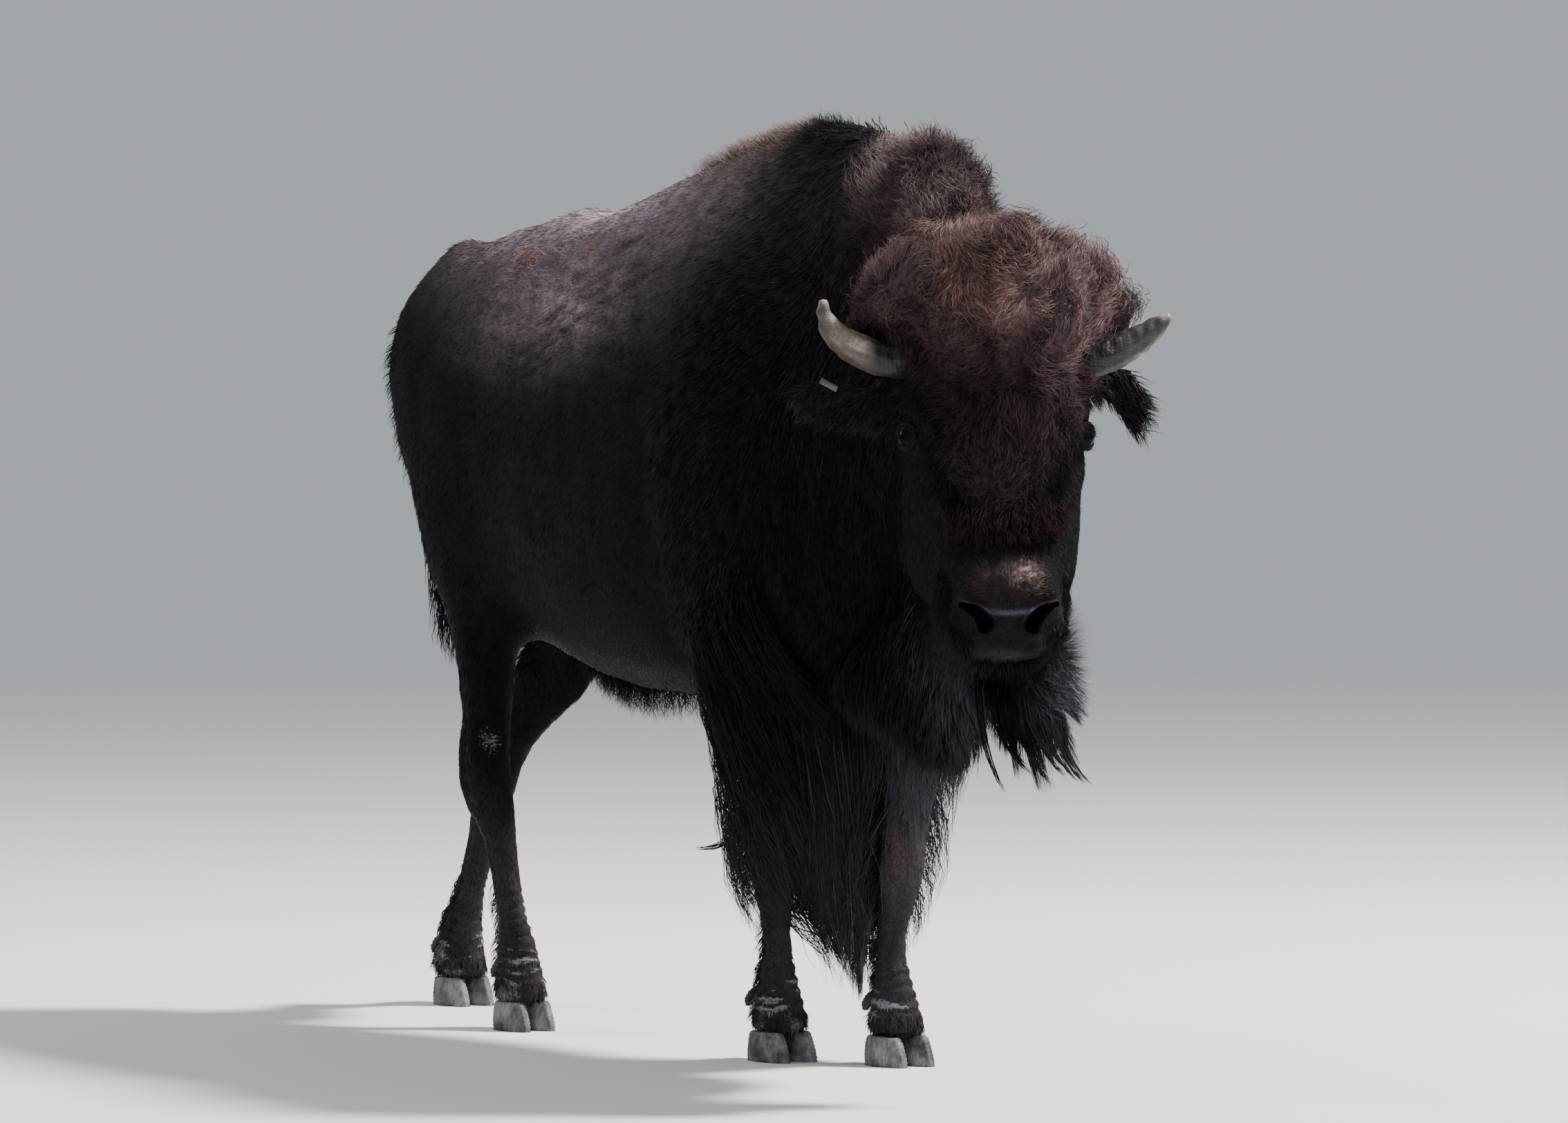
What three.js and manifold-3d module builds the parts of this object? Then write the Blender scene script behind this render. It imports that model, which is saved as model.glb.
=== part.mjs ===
// A plains bison standing in mid stride with its head turned to its right.
// Millimetres, +Z up. The animal faces -Y and its right side is -X; the soles
// of its hooves stand on z = 0.
//
// The flesh is lofted from a few named stations, joined into one solid and
// then parted at the neck and the joints of the legs by thin flat gaps. Every
// solid reaches to the tips of the short coat. The long hair (mop, mane, beard,
// pantaloons, belly fringe, tail switch) is added over it as solids of its own.
import * as THREE from 'three';
import { mergeVertices } from 'three/addons/utils/BufferGeometryUtils.js';
import Module from 'manifold-3d';

const wasm = await Module();
wasm.setup();

// ---------------------------------------------------------------- dimensions
const GAP = 0.4;                  // between neighbouring solids
const HUMP_HEIGHT = 1656;         // top of the hump above the ground
const CROUP_HEIGHT = 1484;        // top of the sacrum
const BELLY_HEIGHT = 612;         // lowest line of the trunk
const EYE_MID = [-100, -1292, 1110]; // point midway between the eyes
const HEAD_TURN = 26;             // degrees, toward the animal's right
const HEAD_PITCH = 50;            // degrees, the line from eye to nostril below level
const EYE_HALF_SPAN = 146;        // eye centres from the head's mid-plane
const EYE_RADIUS = 22;
const EAR_LENGTH = 145;
const HORN_ROOT_RADIUS = 33;
const HORN_TIP_RADIUS = 7;
const HOOF_HEIGHT = 52;            // of the claws, up to the edge of the hair

const COLOURS = {
  coat: 0x2b211c, coatPale: 0x3d2f26, mop: 0x3a281d, black: 0x171311, horn: 0x6f6659,
  hoof: 0x4f4a44, eye: 0x1c1510, tag: 0xa9abab,
};

// ---------------------------------------------------------------- vector help
const V = (p) => new THREE.Vector3(...p);
const rad = THREE.MathUtils.degToRad;
const mirror = ([x, y, z]) => [-x, y, z];

function spline(values, t) {
  // Catmull-Rom through a list of numbers, t from 0 to 1
  const last = values.length - 1;
  const s = Math.min(Math.max(t, 0), 1) * last;
  const i = Math.min(Math.floor(s), last - 1);
  const f = s - i;
  const at = (k) => {
    if (k < 0) return 2 * values[0] - values[1];
    if (k > last) return 2 * values[last] - values[last - 1];
    return values[k];
  };
  const [a, b, c, d] = [at(i - 1), at(i), at(i + 1), at(i + 2)];
  return b + 0.5 * f * (c - a + f * (2 * a - 5 * b + 4 * c - d + f * (3 * (b - c) + d - a)));
}

// ---------------------------------------------------------------- lofts
// A station is { p: [x, y, z], w, u, d, n, m }: the ring's centre, its half width
// across the side direction, its reach toward `up` (u) and away from it (d), and
// the superellipse exponents of its upper (n) and lower (m) half.
// `lengthwise` fixes the plane of every ring; without it rings stand across the
// path. `swell` is added to every reach.
function loft(stations, { rings, sides, up, lengthwise, swell = 0, bulges = [] }) {
  const pick = (key, fallback) => stations.map((s) => s[key] ?? fallback);
  const xs = stations.map((s) => s.p[0]);
  const ys = stations.map((s) => s.p[1]);
  const zs = stations.map((s) => s.p[2]);
  const keys = { w: pick('w'), u: pick('u'), d: pick('d'), n: pick('n', 2), m: pick('m', 2) };
  const pointAt = (t) => new THREE.Vector3(spline(xs, t), spline(ys, t), spline(zs, t));
  const first = pointAt(0);
  const lastPoint = pointAt(1);
  const vertices = [];
  const triangles = [];
  for (let r = 0; r <= rings; r++) {
    const t = r / rings;
    const centre = pointAt(t);
    const along = lengthwise ? V(lengthwise).normalize()
      : pointAt(Math.min(t + 0.02, 1)).sub(pointAt(Math.max(t - 0.02, 0))).normalize();
    const side = new THREE.Vector3().crossVectors(V(up), along).normalize();
    const top = new THREE.Vector3().crossVectors(along, side).normalize();
    const size = Object.fromEntries(Object.entries(keys).map(([k, v]) => [k, spline(v, t)]));
    for (let s = 0; s < sides; s++) {
      const angle = (2 * Math.PI * s) / sides;
      const [c, q] = [Math.cos(angle), Math.sin(angle)];
      const power = 2 / (q >= 0 ? size.n : size.m);
      const across = Math.sign(c) * Math.abs(c) ** power * (Math.max(size.w, 1) + swell);
      const rise = Math.sign(q) * Math.abs(q) ** power
        * (Math.max(q >= 0 ? size.u : size.d, 1) + swell);
      const v = centre.clone().addScaledVector(side, across).addScaledVector(top, rise);
      for (const b of bulges) {
        const gap = v.distanceTo(V(b.at)) / b.r;
        if (gap < 1) {
          const out = b.push ? V(b.push).normalize() : v.clone().sub(centre).normalize();
          v.addScaledVector(out, b.h * (1 - gap * gap) ** 2);
        }
      }
      vertices.push(v.x, v.y, v.z);
    }
  }
  const ring = (r, s) => r * sides + ((s + sides) % sides);
  for (let r = 0; r < rings; r++) {
    for (let s = 0; s < sides; s++) {
      triangles.push(ring(r, s), ring(r, s + 1), ring(r + 1, s + 1));
      triangles.push(ring(r, s), ring(r + 1, s + 1), ring(r + 1, s));
    }
  }
  const away = pointAt(0.02).sub(first).normalize();
  const capA = vertices.length / 3;
  const a = first.clone().addScaledVector(away, -swell);
  vertices.push(a.x, a.y, a.z);
  const capB = capA + 1;
  const outward = lastPoint.clone().sub(pointAt(0.98)).normalize();
  const b = lastPoint.clone().addScaledVector(outward, swell);
  vertices.push(b.x, b.y, b.z);
  for (let s = 0; s < sides; s++) {
    triangles.push(capA, ring(0, s + 1), ring(0, s));
    triangles.push(capB, ring(rings, s), ring(rings, s + 1));
  }
  return solid(vertices, triangles);
}

function solid(vertices, triangles) {
  const build = (order) => new wasm.Manifold(new wasm.Mesh({
    numProp: 3, vertProperties: new Float32Array(vertices), triVerts: new Uint32Array(order),
  }));
  const made = build(triangles);
  if (made.volume() > 0) return made;
  const turned = [];
  for (let i = 0; i < triangles.length; i += 3) {
    turned.push(triangles[i], triangles[i + 2], triangles[i + 1]);
  }
  return build(turned);
}

function fromGeometry(geometry, matrix) {
  const g = geometry.clone();
  g.deleteAttribute('normal');
  g.deleteAttribute('uv');
  if (matrix) g.applyMatrix4(matrix);
  const merged = mergeVertices(g, 1e-4);
  return solid(Array.from(merged.attributes.position.array), Array.from(merged.index.array));
}

const largest = (m) => m.decompose().sort((a, b) => b.volume() - a.volume())[0];
const union = (parts) => parts.reduce((a, b) => a.add(b));

// ---------------------------------------------------------------- trunk
// [y, top z, lowest z, level of the greatest width, half width, n, m]
const TRUNK = [
  [748, 1330, 1130, 1240, 50, 1.8, 2],
  [730, 1388, 1020, 1210, 112, 1.6, 2],
  [680, 1414, 920, 1180, 174, 1.6, 2],
  [600, 1425, 850, 1150, 213, 1.6, 2],
  [480, 1440, 770, 1110, 234, 1.7, 2.1],
  [350, 1462, 705, 1080, 242, 1.9, 2.2],
  [232, CROUP_HEIGHT, 668, 1060, 247, 1.8, 2.2],
  [120, 1477, 640, 1040, 262, 1.9, 2.2],
  [-30, 1518, 618, 1020, 288, 1.8, 2.2],
  [-166, 1557, BELLY_HEIGHT, 1010, 302, 1.7, 2.2],
  [-327, 1604, BELLY_HEIGHT - 6, 1010, 302, 1.6, 2.2],
  [-460, 1637, BELLY_HEIGHT - 2, 1010, 292, 1.5, 2.2],
  [-610, HUMP_HEIGHT, 622, 1010, 282, 1.5, 2.2],
  [-748, 1646, 650, 1020, 262, 1.5, 2.2],
  [-860, 1605, 700, 1050, 222, 1.6, 2.1],
  [-945, 1520, 780, 1090, 168, 1.8, 2],
  [-990, 1420, 880, 1120, 100, 2, 2],
];
const trunkStations = TRUNK.map(([y, top, low, mid, w, n, m]) => (
  { p: [0, y, mid], w, u: top - mid, d: mid - low, n, m }));
const bothSides = (list) => list.flatMap((b) => [b,
  { ...b, at: mirror(b.at), ...(b.push && { push: mirror(b.push) }) }]);
const TRUNK_BULGES = bothSides([
  { at: [-232, 255, 1352], r: 110, h: 30, push: [-1, 0, 0.5] },   // hook bone
  { at: [-100, 728, 1270], r: 90, h: 14, push: [-0.5, 1, 0] },    // pin bone
  { at: [-170, 640, 1275], r: 140, h: 13, push: [-1, 0.6, 0.3] }, // top of the thigh
  { at: [-262, -560, 1120], r: 260, h: 26, push: [-1, 0, 0] },    // shoulder blade
  { at: [-236, 60, 1300], r: 150, h: -22, push: [-1, 0, 0] },     // hollow of the flank
]).concat([
  { at: [0, 700, 1412], r: 70, h: 10, push: [0, 0, 1] },          // root of the tail
]);

// ---------------------------------------------------------------- head frame
const turn = rad(HEAD_TURN);
const pitch = rad(HEAD_PITCH);
const levelAhead = new THREE.Vector3(-Math.sin(turn), -Math.cos(turn), 0);
const headLeft = new THREE.Vector3(Math.cos(turn), -Math.sin(turn), 0);
const faceAxis = levelAhead.clone().multiplyScalar(Math.cos(pitch))
  .add(new THREE.Vector3(0, 0, -Math.sin(pitch)));
const faceUp = levelAhead.clone().multiplyScalar(Math.sin(pitch))
  .add(new THREE.Vector3(0, 0, Math.cos(pitch)));
// a: along the face from the eyes to the nose, s: toward the head's left, n: up off the face
const inHead = (a, s, n) => V(EYE_MID).addScaledVector(faceAxis, a)
  .addScaledVector(headLeft, s).addScaledVector(faceUp, n).toArray();
// the same point given level: ahead, toward the left and above the eyes
const byHead = (ahead, s, z) => V(EYE_MID).addScaledVector(levelAhead, ahead)
  .addScaledVector(headLeft, s).add(new THREE.Vector3(0, 0, z)).toArray();

// [a, half width, forehead or nose line, jaw line, n, m]
const HEAD = [
  [-262, 62, 20, -60, 2, 2],
  [-240, 108, 62, -110, 2.2, 2],
  [-180, 136, 92, -196, 2.4, 2.4],
  [-100, 148, 98, -254, 2.5, 3.0],
  [-30, 152, 88, -284, 2.4, 3.4],
  [40, 146, 74, -294, 2.3, 3.8],
  [110, 138, 60, -280, 2.2, 3.8],
  [180, 130, 50, -250, 2.2, 3.6],
  [240, 118, 43, -218, 2.3, 3.2],
  [295, 104, 42, -186, 2.3, 2.8],
  [335, 95, 38, -164, 2.4, 2.3],
  [372, 88, 8, -160, 2.4, 2.3],
  [392, 58, -40, -146, 2.2, 2.2],
];
const headStations = HEAD.map(([a, w, top, low, n, m]) => (
  { p: inHead(a, 0, (top + low) / 2), w, u: (top - low) / 2, d: (top - low) / 2, n, m }));
const HEAD_BULGES = [-1, 1].flatMap((k) => [
  { at: inHead(-6, k * 146, 26), r: 62, h: 12, push: inHead(0, k, 0.2).map((v, i) => v - EYE_MID[i]) },
  { at: inHead(6, k * 168, -2), r: 34, h: -14, push: inHead(0, k, 0).map((v, i) => v - EYE_MID[i]) },
  { at: inHead(110, k * 130, -262), r: 150, h: 22, push: inHead(0, k, 0).map((v, i) => v - EYE_MID[i]) },
  { at: inHead(92, k * 136, -72), r: 80, h: 16, push: inHead(0, k, 0).map((v, i) => v - EYE_MID[i]) },
  { at: inHead(40, k * 150, -26), r: 56, h: 16, push: inHead(0, k, 0).map((v, i) => v - EYE_MID[i]) },
  { at: inHead(348, k * 84, 6), r: 46, h: 9, push: inHead(0.3, k, 0).map((v, i) => v - EYE_MID[i]) },
  { at: inHead(300, k * 100, -112), r: 60, h: 8, push: inHead(0, k, 0).map((v, i) => v - EYE_MID[i]) },
]);

// ---------------------------------------------------------------- neck
const NECK = [
  { p: [0, -800, 1130], w: 214, u: 440, d: 380, n: 1.6, m: 2 },
  { p: [-4, -900, 1130], w: 206, u: 400, d: 360, n: 1.7, m: 2 },
  { p: [-16, -1000, 1130], w: 190, u: 330, d: 320, n: 1.8, m: 2 },
  { p: [-36, -1090, 1130], w: 172, u: 250, d: 262, n: 2, m: 2 },
  { p: [-58, -1170, 1130], w: 150, u: 180, d: 190, n: 2, m: 2 },
  { p: [-76, -1230, 1124], w: 110, u: 130, d: 130, n: 2, m: 2 },
];

// ---------------------------------------------------------------- legs
// Stations run downward; w is half the breadth across the leg, u its reach
// forward of the path and d its reach behind it. The path is given for the right
// side; `side` of +1 mirrors it.
const leg = (list, side) => list.map(([x, y, z, w, u, d, n = 2, m = 2]) => (
  { p: [side * -x, y, z], w, u, d, n, m }));

const HIND_FRONT = [            // the right hind leg, set forward
  [-140, 470, 1250, 84, 165, 185],
  [-160, 425, 1060, 86, 190, 184],
  [-166, 385, 910, 80, 172, 165],
  [-163, 345, 780, 68, 138, 138],
  [-152, 345, 655, 52, 84, 92],
  [-140, 362, 550, 40, 60, 80],
  [-128, 385, 468, 36, 62, 104],
  [-120, 382, 418, 34, 60, 96],
  [-114, 366, 352, 27, 42, 50],
  [-108, 352, 262, 24, 33, 36],
  [-104, 338, 190, 26, 38, 42],
  [-101, 326, 142, 33, 47, 56],
  [-100, 318, 96, 40, 56, 64],
  [-100, 314, 50, 46, 60, 60],
];
const HIND_BACK = [             // the left hind leg, trailing
  [-140, 480, 1250, 84, 165, 185],
  [-160, 490, 1060, 86, 195, 175],
  [-166, 505, 910, 80, 190, 160],
  [-162, 545, 790, 68, 185, 140],
  [-152, 605, 680, 54, 150, 104],
  [-142, 668, 600, 44, 104, 84],
  [-132, 735, 520, 38, 66, 86],
  [-124, 772, 462, 36, 58, 98],
  [-118, 786, 412, 33, 56, 88],
  [-112, 804, 346, 27, 41, 48],
  [-106, 834, 262, 24, 33, 36],
  [-101, 858, 195, 26, 38, 42],
  [-98, 872, 146, 33, 47, 56],
  [-96, 878, 98, 40, 58, 66],
  [-96, 878, 50, 46, 62, 62],
];
const FORE_BACK = [             // the right foreleg, under the shoulder
  [-160, -640, 1150, 100, 200, 180],
  [-172, -640, 980, 112, 215, 195],
  [-172, -610, 830, 104, 180, 180],
  [-150, -580, 700, 84, 120, 124],
  [-120, -560, 580, 62, 80, 82],
  [-96, -542, 460, 48, 58, 58],
  [-84, -524, 380, 42, 50, 50],
  [-74, -518, 325, 41, 48, 46],
  [-66, -512, 265, 30, 36, 36],
  [-58, -506, 200, 25, 30, 34],
  [-52, -500, 145, 32, 42, 50],
  [-50, -500, 98, 42, 52, 60],
  [-50, -504, 50, 49, 60, 60],
];
const FORE_FRONT = [            // the left foreleg, a step ahead
  [-160, -655, 1150, 100, 200, 180],
  [-172, -660, 980, 112, 210, 190],
  [-168, -655, 830, 104, 175, 180],
  [-146, -660, 700, 84, 118, 130],
  [-122, -668, 580, 62, 80, 88],
  [-102, -676, 460, 48, 58, 62],
  [-92, -678, 380, 43, 52, 50],
  [-86, -676, 325, 43, 50, 48],
  [-80, -670, 265, 30, 36, 38],
  [-76, -668, 200, 26, 30, 36],
  [-74, -676, 145, 32, 42, 50],
  [-74, -684, 98, 42, 52, 60],
  [-74, -688, 50, 49, 60, 60],
];
const LEGS = {
  foreleg_right: { path: FORE_BACK, side: -1 },
  foreleg_left: { path: FORE_FRONT, side: 1 },
  hindleg_right: { path: HIND_FRONT, side: -1 },
  hindleg_left: { path: HIND_BACK, side: 1 },
};

// ---------------------------------------------------------------- tail
const TAIL = [
  { p: [0, 680, 1386], w: 34, u: 26, d: 24 },
  { p: [0, 748, 1356], w: 34, u: 26, d: 26 },
  { p: [2, 786, 1290], w: 29, u: 24, d: 24 },
  { p: [4, 792, 1180], w: 24, u: 20, d: 20 },
  { p: [6, 784, 1060], w: 20, u: 17, d: 17 },
  { p: [6, 774, 950], w: 16, u: 14, d: 14 },
];
const TAIL_SWITCH = [
  { p: [6, 776, 972], w: 20, u: 18, d: 18 },
  { p: [7, 772, 900], w: 34, u: 28, d: 30 },
  { p: [8, 766, 800], w: 42, u: 33, d: 36 },
  { p: [8, 762, 700], w: 36, u: 28, d: 30 },
  { p: [8, 760, 620], w: 14, u: 10, d: 10 },
];

// ---------------------------------------------------------------- flesh
function flesh(swell) {
  const limbs = Object.values(LEGS).map(({ path, side }) => loft(leg(path, side), {
    rings: 16, sides: 8, up: [0, -1, 0], swell,
  }));
  return {
    trunk: loft(trunkStations, {
      rings: 19, sides: 20, up: [0, 0, 1], lengthwise: [0, -1, 0], bulges: TRUNK_BULGES, swell,
    }),
    neck: loft(NECK, { rings: 6, sides: 16, up: [0, 0, 1], swell }),
    head: loft(headStations, {
      rings: 14, sides: 16, up: faceUp.toArray(), lengthwise: faceAxis.toArray(),
      bulges: HEAD_BULGES, swell,
    }),
    tail: loft(TAIL, { rings: 7, sides: 6, up: [0, 1, 0.2], swell }),
    limbs,
  };
}

// ---------------------------------------------------------------- horns, ears, eyes
// [ahead, toward the left, above the eyes, radius]
const HORN_RIGHT = [
  [-30, -96, 124, HORN_ROOT_RADIUS], [-28, -150, 130, HORN_ROOT_RADIUS],
  [-26, -190, 133, 31], [-26, -228, 146, 29], [-25, -262, 167, 24.5],
  [-22, -287, 199, 17], [-16, -291, 232, HORN_TIP_RADIUS],
];
const HORN_LEFT = [
  [-30, 96, 120, HORN_ROOT_RADIUS], [-30, 144, 126, HORN_ROOT_RADIUS],
  [-32, 182, 134, 32], [-34, 218, 149, 29], [-33, 254, 169, 23.5],
  [-29, 281, 190, 16], [-26, 298, 205, HORN_TIP_RADIUS],
];
const horn = (path, swell) => loft(path.map(([f, s, z, r]) => (
  { p: byHead(f, s, z), w: r, u: r, d: r })), { rings: 10, sides: 8, up: [0, 0, 1], swell });

// [ahead, toward the left, above the eyes, half height, half thickness]
const EAR_RIGHT = [
  [-104, -150, 40, 22, 18], [-116, -190, 48, 29, 14], [-122, -240, 57, 38, 11],
  [-122, -280, 65, 34, 9], [-118, -312, 71, 23, 7], [-114, -186 - EAR_LENGTH, 75, 9, 4],
];
const EAR_LEFT = [
  [-104, 148, 84, 20, 18], [-120, 186, 92, 27, 13], [-130, 222, 84, 36, 9],
  [-132, 244, 54, 33, 7], [-128, 250, 22, 22, 6], [-124, 250, 2, 8, 4],
];
const ear = (path, up, swell) => loft(path.map(([f, s, z, h, t]) => (
  { p: byHead(f, s, z), w: h, u: t, d: t, n: 2.3, m: 2.3 })), { rings: 7, sides: 8, up, swell });
const ears = (swell) => [
  ear(EAR_RIGHT, levelAhead.toArray(), swell), ear(EAR_LEFT, levelAhead.toArray(), swell)];

const eye = (side, swell) => fromGeometry(
  new THREE.SphereGeometry(EYE_RADIUS + swell, 10, 7),
  new THREE.Matrix4().makeTranslation(...inHead(2, side * EYE_HALF_SPAN, 2)),
);

// ---------------------------------------------------------------- feet
const FEET = {
  fore_right: { at: [-50, -508], size: 1.08 }, fore_left: { at: [74, -696], size: 1.08 },
  hind_right: { at: [-100, 306], size: 1 }, hind_left: { at: [96, 870], size: 1 },
};
// [z, half width, toe, heel] of one claw
const CLAW = [
  [0, 24.8, 63, 45], [18, 24.8, 57, 47], [38, 23, 47, 46], [HOOF_HEIGHT - GAP, 21, 38, 43],
];
function claw({ at: [x, y], size }, side, swell) {
  return loft(CLAW.map(([z, w, toe, heel]) => ({
    p: [x + side * 25.5 * size, y, z], w: w * size, u: toe * size, d: heel * size, n: 1.7, m: 2.4,
  })), { rings: 3, sides: 9, up: [0, -1, 0], lengthwise: [0, 0, 1], swell });
}
function dewclaw({ at: [x, y], size }, side, swell) {
  const path = [[18, 32, 126, 8], [21, 52, 115, 12], [22, 64, 102, 11], [22, 69, 92, 5]];
  return loft(path.map(([dx, dy, z, r]) => (
    { p: [x + side * dx * size, y + dy * size, z], w: r, u: r * 0.8, d: r * 0.8 })),
  { rings: 3, sides: 6, up: [0, 1, 0], swell });
}

// ---------------------------------------------------------------- long hair
// [above the eyes, ahead, half width, reach ahead, reach behind]
const MOP_HOLLOWS = [-1, 1].map((side) => ({   // around the roots of the horns
  at: byHead(70, side * 232, 142), r: 150, h: 134, push: levelAhead.clone().negate().toArray(),
}));
const MOP = [
  [378, -66, 40, 40, 40], [356, -66, 140, 112, 104], [300, -66, 218, 158, 158],
  [226, -56, 254, 182, 172], [156, -36, 238, 174, 150], [84, -8, 184, 152, 108],
  [12, 34, 146, 118, 66], [-76, 84, 128, 90, 56], [-142, 124, 96, 74, 50],
  [-184, 152, 54, 52, 38], [-206, 168, 24, 34, 24],
];
const mop = (swell) => loft(MOP.map(([z, f, w, u, d]) => (
  { p: byHead(f, 0, z), w, u, d, n: 2.2, m: 2 })),
{ rings: 10, sides: 12, up: levelAhead.toArray(), lengthwise: [0, 0, -1], bulges: MOP_HOLLOWS, swell });

// [x, y, centre z, half width, top reach, lower reach]
const NECK_MANE = [
  [0, -735, 1560, 50, 84, 90], [-10, -800, 1500, 112, 148, 150], [-24, -880, 1470, 134, 172, 190],
  [-42, -960, 1450, 136, 190, 212], [-62, -1030, 1430, 128, 202, 220],
  [-84, -1090, 1410, 112, 166, 210], [-100, -1140, 1380, 90, 120, 180],
];
const neckMane = (swell) => loft(NECK_MANE.map(([x, y, z, w, u, d]) => (
  { p: [x, y, z], w, u, d, n: 2, m: 2 })), { rings: 8, sides: 12, up: [0, 0, 1], swell });

const THROAT = [
  [-84, -1220, 940, 44, 60, 60], [-74, -1170, 880, 66, 120, 104], [-60, -1112, 810, 80, 150, 152],
  [-40, -1044, 740, 96, 150, 214], [-16, -960, 710, 116, 120, 230], [0, -860, 690, 124, 80, 176],
  [0, -760, 650, 110, 50, 96], [0, -670, 625, 60, 30, 40],
];
const throatMane = (swell) => loft(THROAT.map(([x, y, z, w, u, d]) => (
  { p: [x, y, z], w, u, d, n: 2, m: 1.7 })), { rings: 9, sides: 12, up: [0, 0, 1], swell });

// [above the eyes, ahead, toward the left, half width, reach ahead, reach behind]
const BEARD = [
  [-236, -6, 16, 112, 50, 50], [-292, 30, 20, 126, 66, 80], [-345, 72, 28, 124, 70, 96],
  [-396, 102, 36, 114, 64, 100], [-446, 118, 48, 106, 60, 94], [-512, 122, 58, 74, 48, 76],
  [-566, 118, 72, 44, 34, 50], [-606, 114, 86, 14, 12, 14],
];
const beard = (swell) => loft(BEARD.map(([z, f, s, w, u, d]) => (
  { p: byHead(f, s, z), w, u, d })),
{ rings: 7, sides: 10, up: levelAhead.toArray(), lengthwise: [0, 0, -1], swell });

const PANTALOON_RIGHT = [
  [-146, -612, 800, 96, 146, 124], [-128, -600, 690, 108, 146, 102], [-98, -584, 580, 101, 130, 84],
  [-76, -562, 460, 88, 106, 70], [-64, -540, 350, 74, 86, 60], [-60, -518, 260, 52, 56, 48],
  [-58, -505, 196, 30, 26, 32],
];
const PANTALOON_LEFT = [
  [-140, -665, 800, 96, 150, 160], [-134, -662, 690, 100, 142, 158],
  [-106, -662, 580, 96, 124, 154], [-88, -660, 460, 94, 112, 152],
  [-78, -650, 350, 96, 108, 150], [-74, -630, 250, 90, 98, 128],
  [-70, -604, 170, 64, 62, 92], [-60, -570, 112, 16, 12, 26],
];
const pantaloon = (path, side) => loft(leg(path, side),
  { rings: 8, sides: 8, up: [0, -1, 0], lengthwise: [0, 0, -1] });

const BELLY_FRINGE = [
  [0, 190, 655, 30, 20, 30], [0, 110, 640, 56, 24, 48], [0, 10, 626, 66, 24, 56],
  [0, -110, 620, 62, 24, 42], [0, -230, 618, 56, 24, 34], [0, -330, 616, 34, 20, 24],
];
const bellyFringe = () => loft(BELLY_FRINGE.map(([x, y, z, w, u, d]) => (
  { p: [x, y, z], w, u, d })), { rings: 7, sides: 8, up: [0, 0, 1] });

const tailSwitch = (swell) => loft(TAIL_SWITCH, { rings: 6, sides: 7, up: [0, 1, 0], swell });

// ---------------------------------------------------------------- assembly
const box = (size, centre, basis) => {
  const matrix = basis ? basis.clone() : new THREE.Matrix4();
  matrix.setPosition(...centre);
  return fromGeometry(new THREE.BoxGeometry(...size), matrix);
};
const headBasis = new THREE.Matrix4().makeBasis(
  headLeft, levelAhead.clone().negate(), new THREE.Vector3(0, 0, 1),
);

function fleshJoined(swell) {
  const parts = flesh(swell);
  return union([parts.trunk, parts.neck, parts.head, parts.tail, ...parts.limbs]);
}

const hooves = {};
for (const [foot, place] of Object.entries(FEET)) {
  for (const [name, make] of [['claw', claw], ['dewclaw', dewclaw]]) {
    for (const side of [-1, 1]) {
      const which = side < 0 ? 'right' : 'left';
      hooves[`${name}_${foot}_${which}`] = (swell) => make(place, side, swell);
    }
  }
}
const horns = {
  horn_right: (swell) => horn(HORN_RIGHT, swell),
  horn_left: (swell) => horn(HORN_LEFT, swell),
};
const eyes = { eye_right: (swell) => eye(-1, swell), eye_left: (swell) => eye(1, swell) };
const hard = { ...horns, ...eyes, ...hooves };
const hardSwollen = union(Object.values(hard).map((make) => make(GAP)));
const earsSwollen = union(ears(GAP));

const groundCut = box([900, 2600, 200], [0, -200, HOOF_HEIGHT - 100]);
const partings = union([
  box([900, GAP, 1400], [0, -905, 1200]),                          // neck from trunk
  box([640, GAP, 1400], byHead(-176, 0, 0), headBasis),            // head from neck
  box([160, GAP, 360], [0, 758, 1330]),                            // tail from trunk
  box([700, 700, GAP], [0, -600, 598]),                            // forelegs from trunk
  box([700, 900, GAP], [0, 600, 640]),                             // hind legs from trunk
  box([700, 700, GAP], [0, -600, 345]),                            // knees
  box([300, 420, GAP], [-150, 380, 440]),                          // right hock
  box([300, 420, GAP], [150, 800, 452]),                           // left hock
]);
const pieces = fleshJoined(0).subtract(hardSwollen).subtract(earsSwollen)
  .subtract(groundCut).subtract(partings).decompose()
  .filter((m) => m.volume() > 1e4);
const PLACES = {                // a point inside each piece of flesh
  trunk: [0, 0, 1100], neck: [-20, -1000, 1130], head: inHead(80, 0, -60), tail: [4, 790, 1150],
  foreleg_upper_right: [-104, -530, 480], foreleg_upper_left: [104, -676, 480],
  foreleg_lower_right: [-60, -506, 220], foreleg_lower_left: [77, -668, 220],
  hindleg_upper_right: [-140, 362, 550], hindleg_upper_left: [140, 690, 580],
  hindleg_lower_right: [-108, 352, 262], hindleg_lower_left: [106, 834, 262],
};
const contains = (m, p) => !m.intersect(box([2, 2, 2], p)).isEmpty();
const solids = {};
for (const [name, p] of Object.entries(PLACES)) {
  solids[name] = pieces.find((m) => contains(m, p));
}
[solids.ear_right, solids.ear_left] = ears(0);
for (const [name, make] of Object.entries(hard)) solids[name] = make(0);

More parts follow.
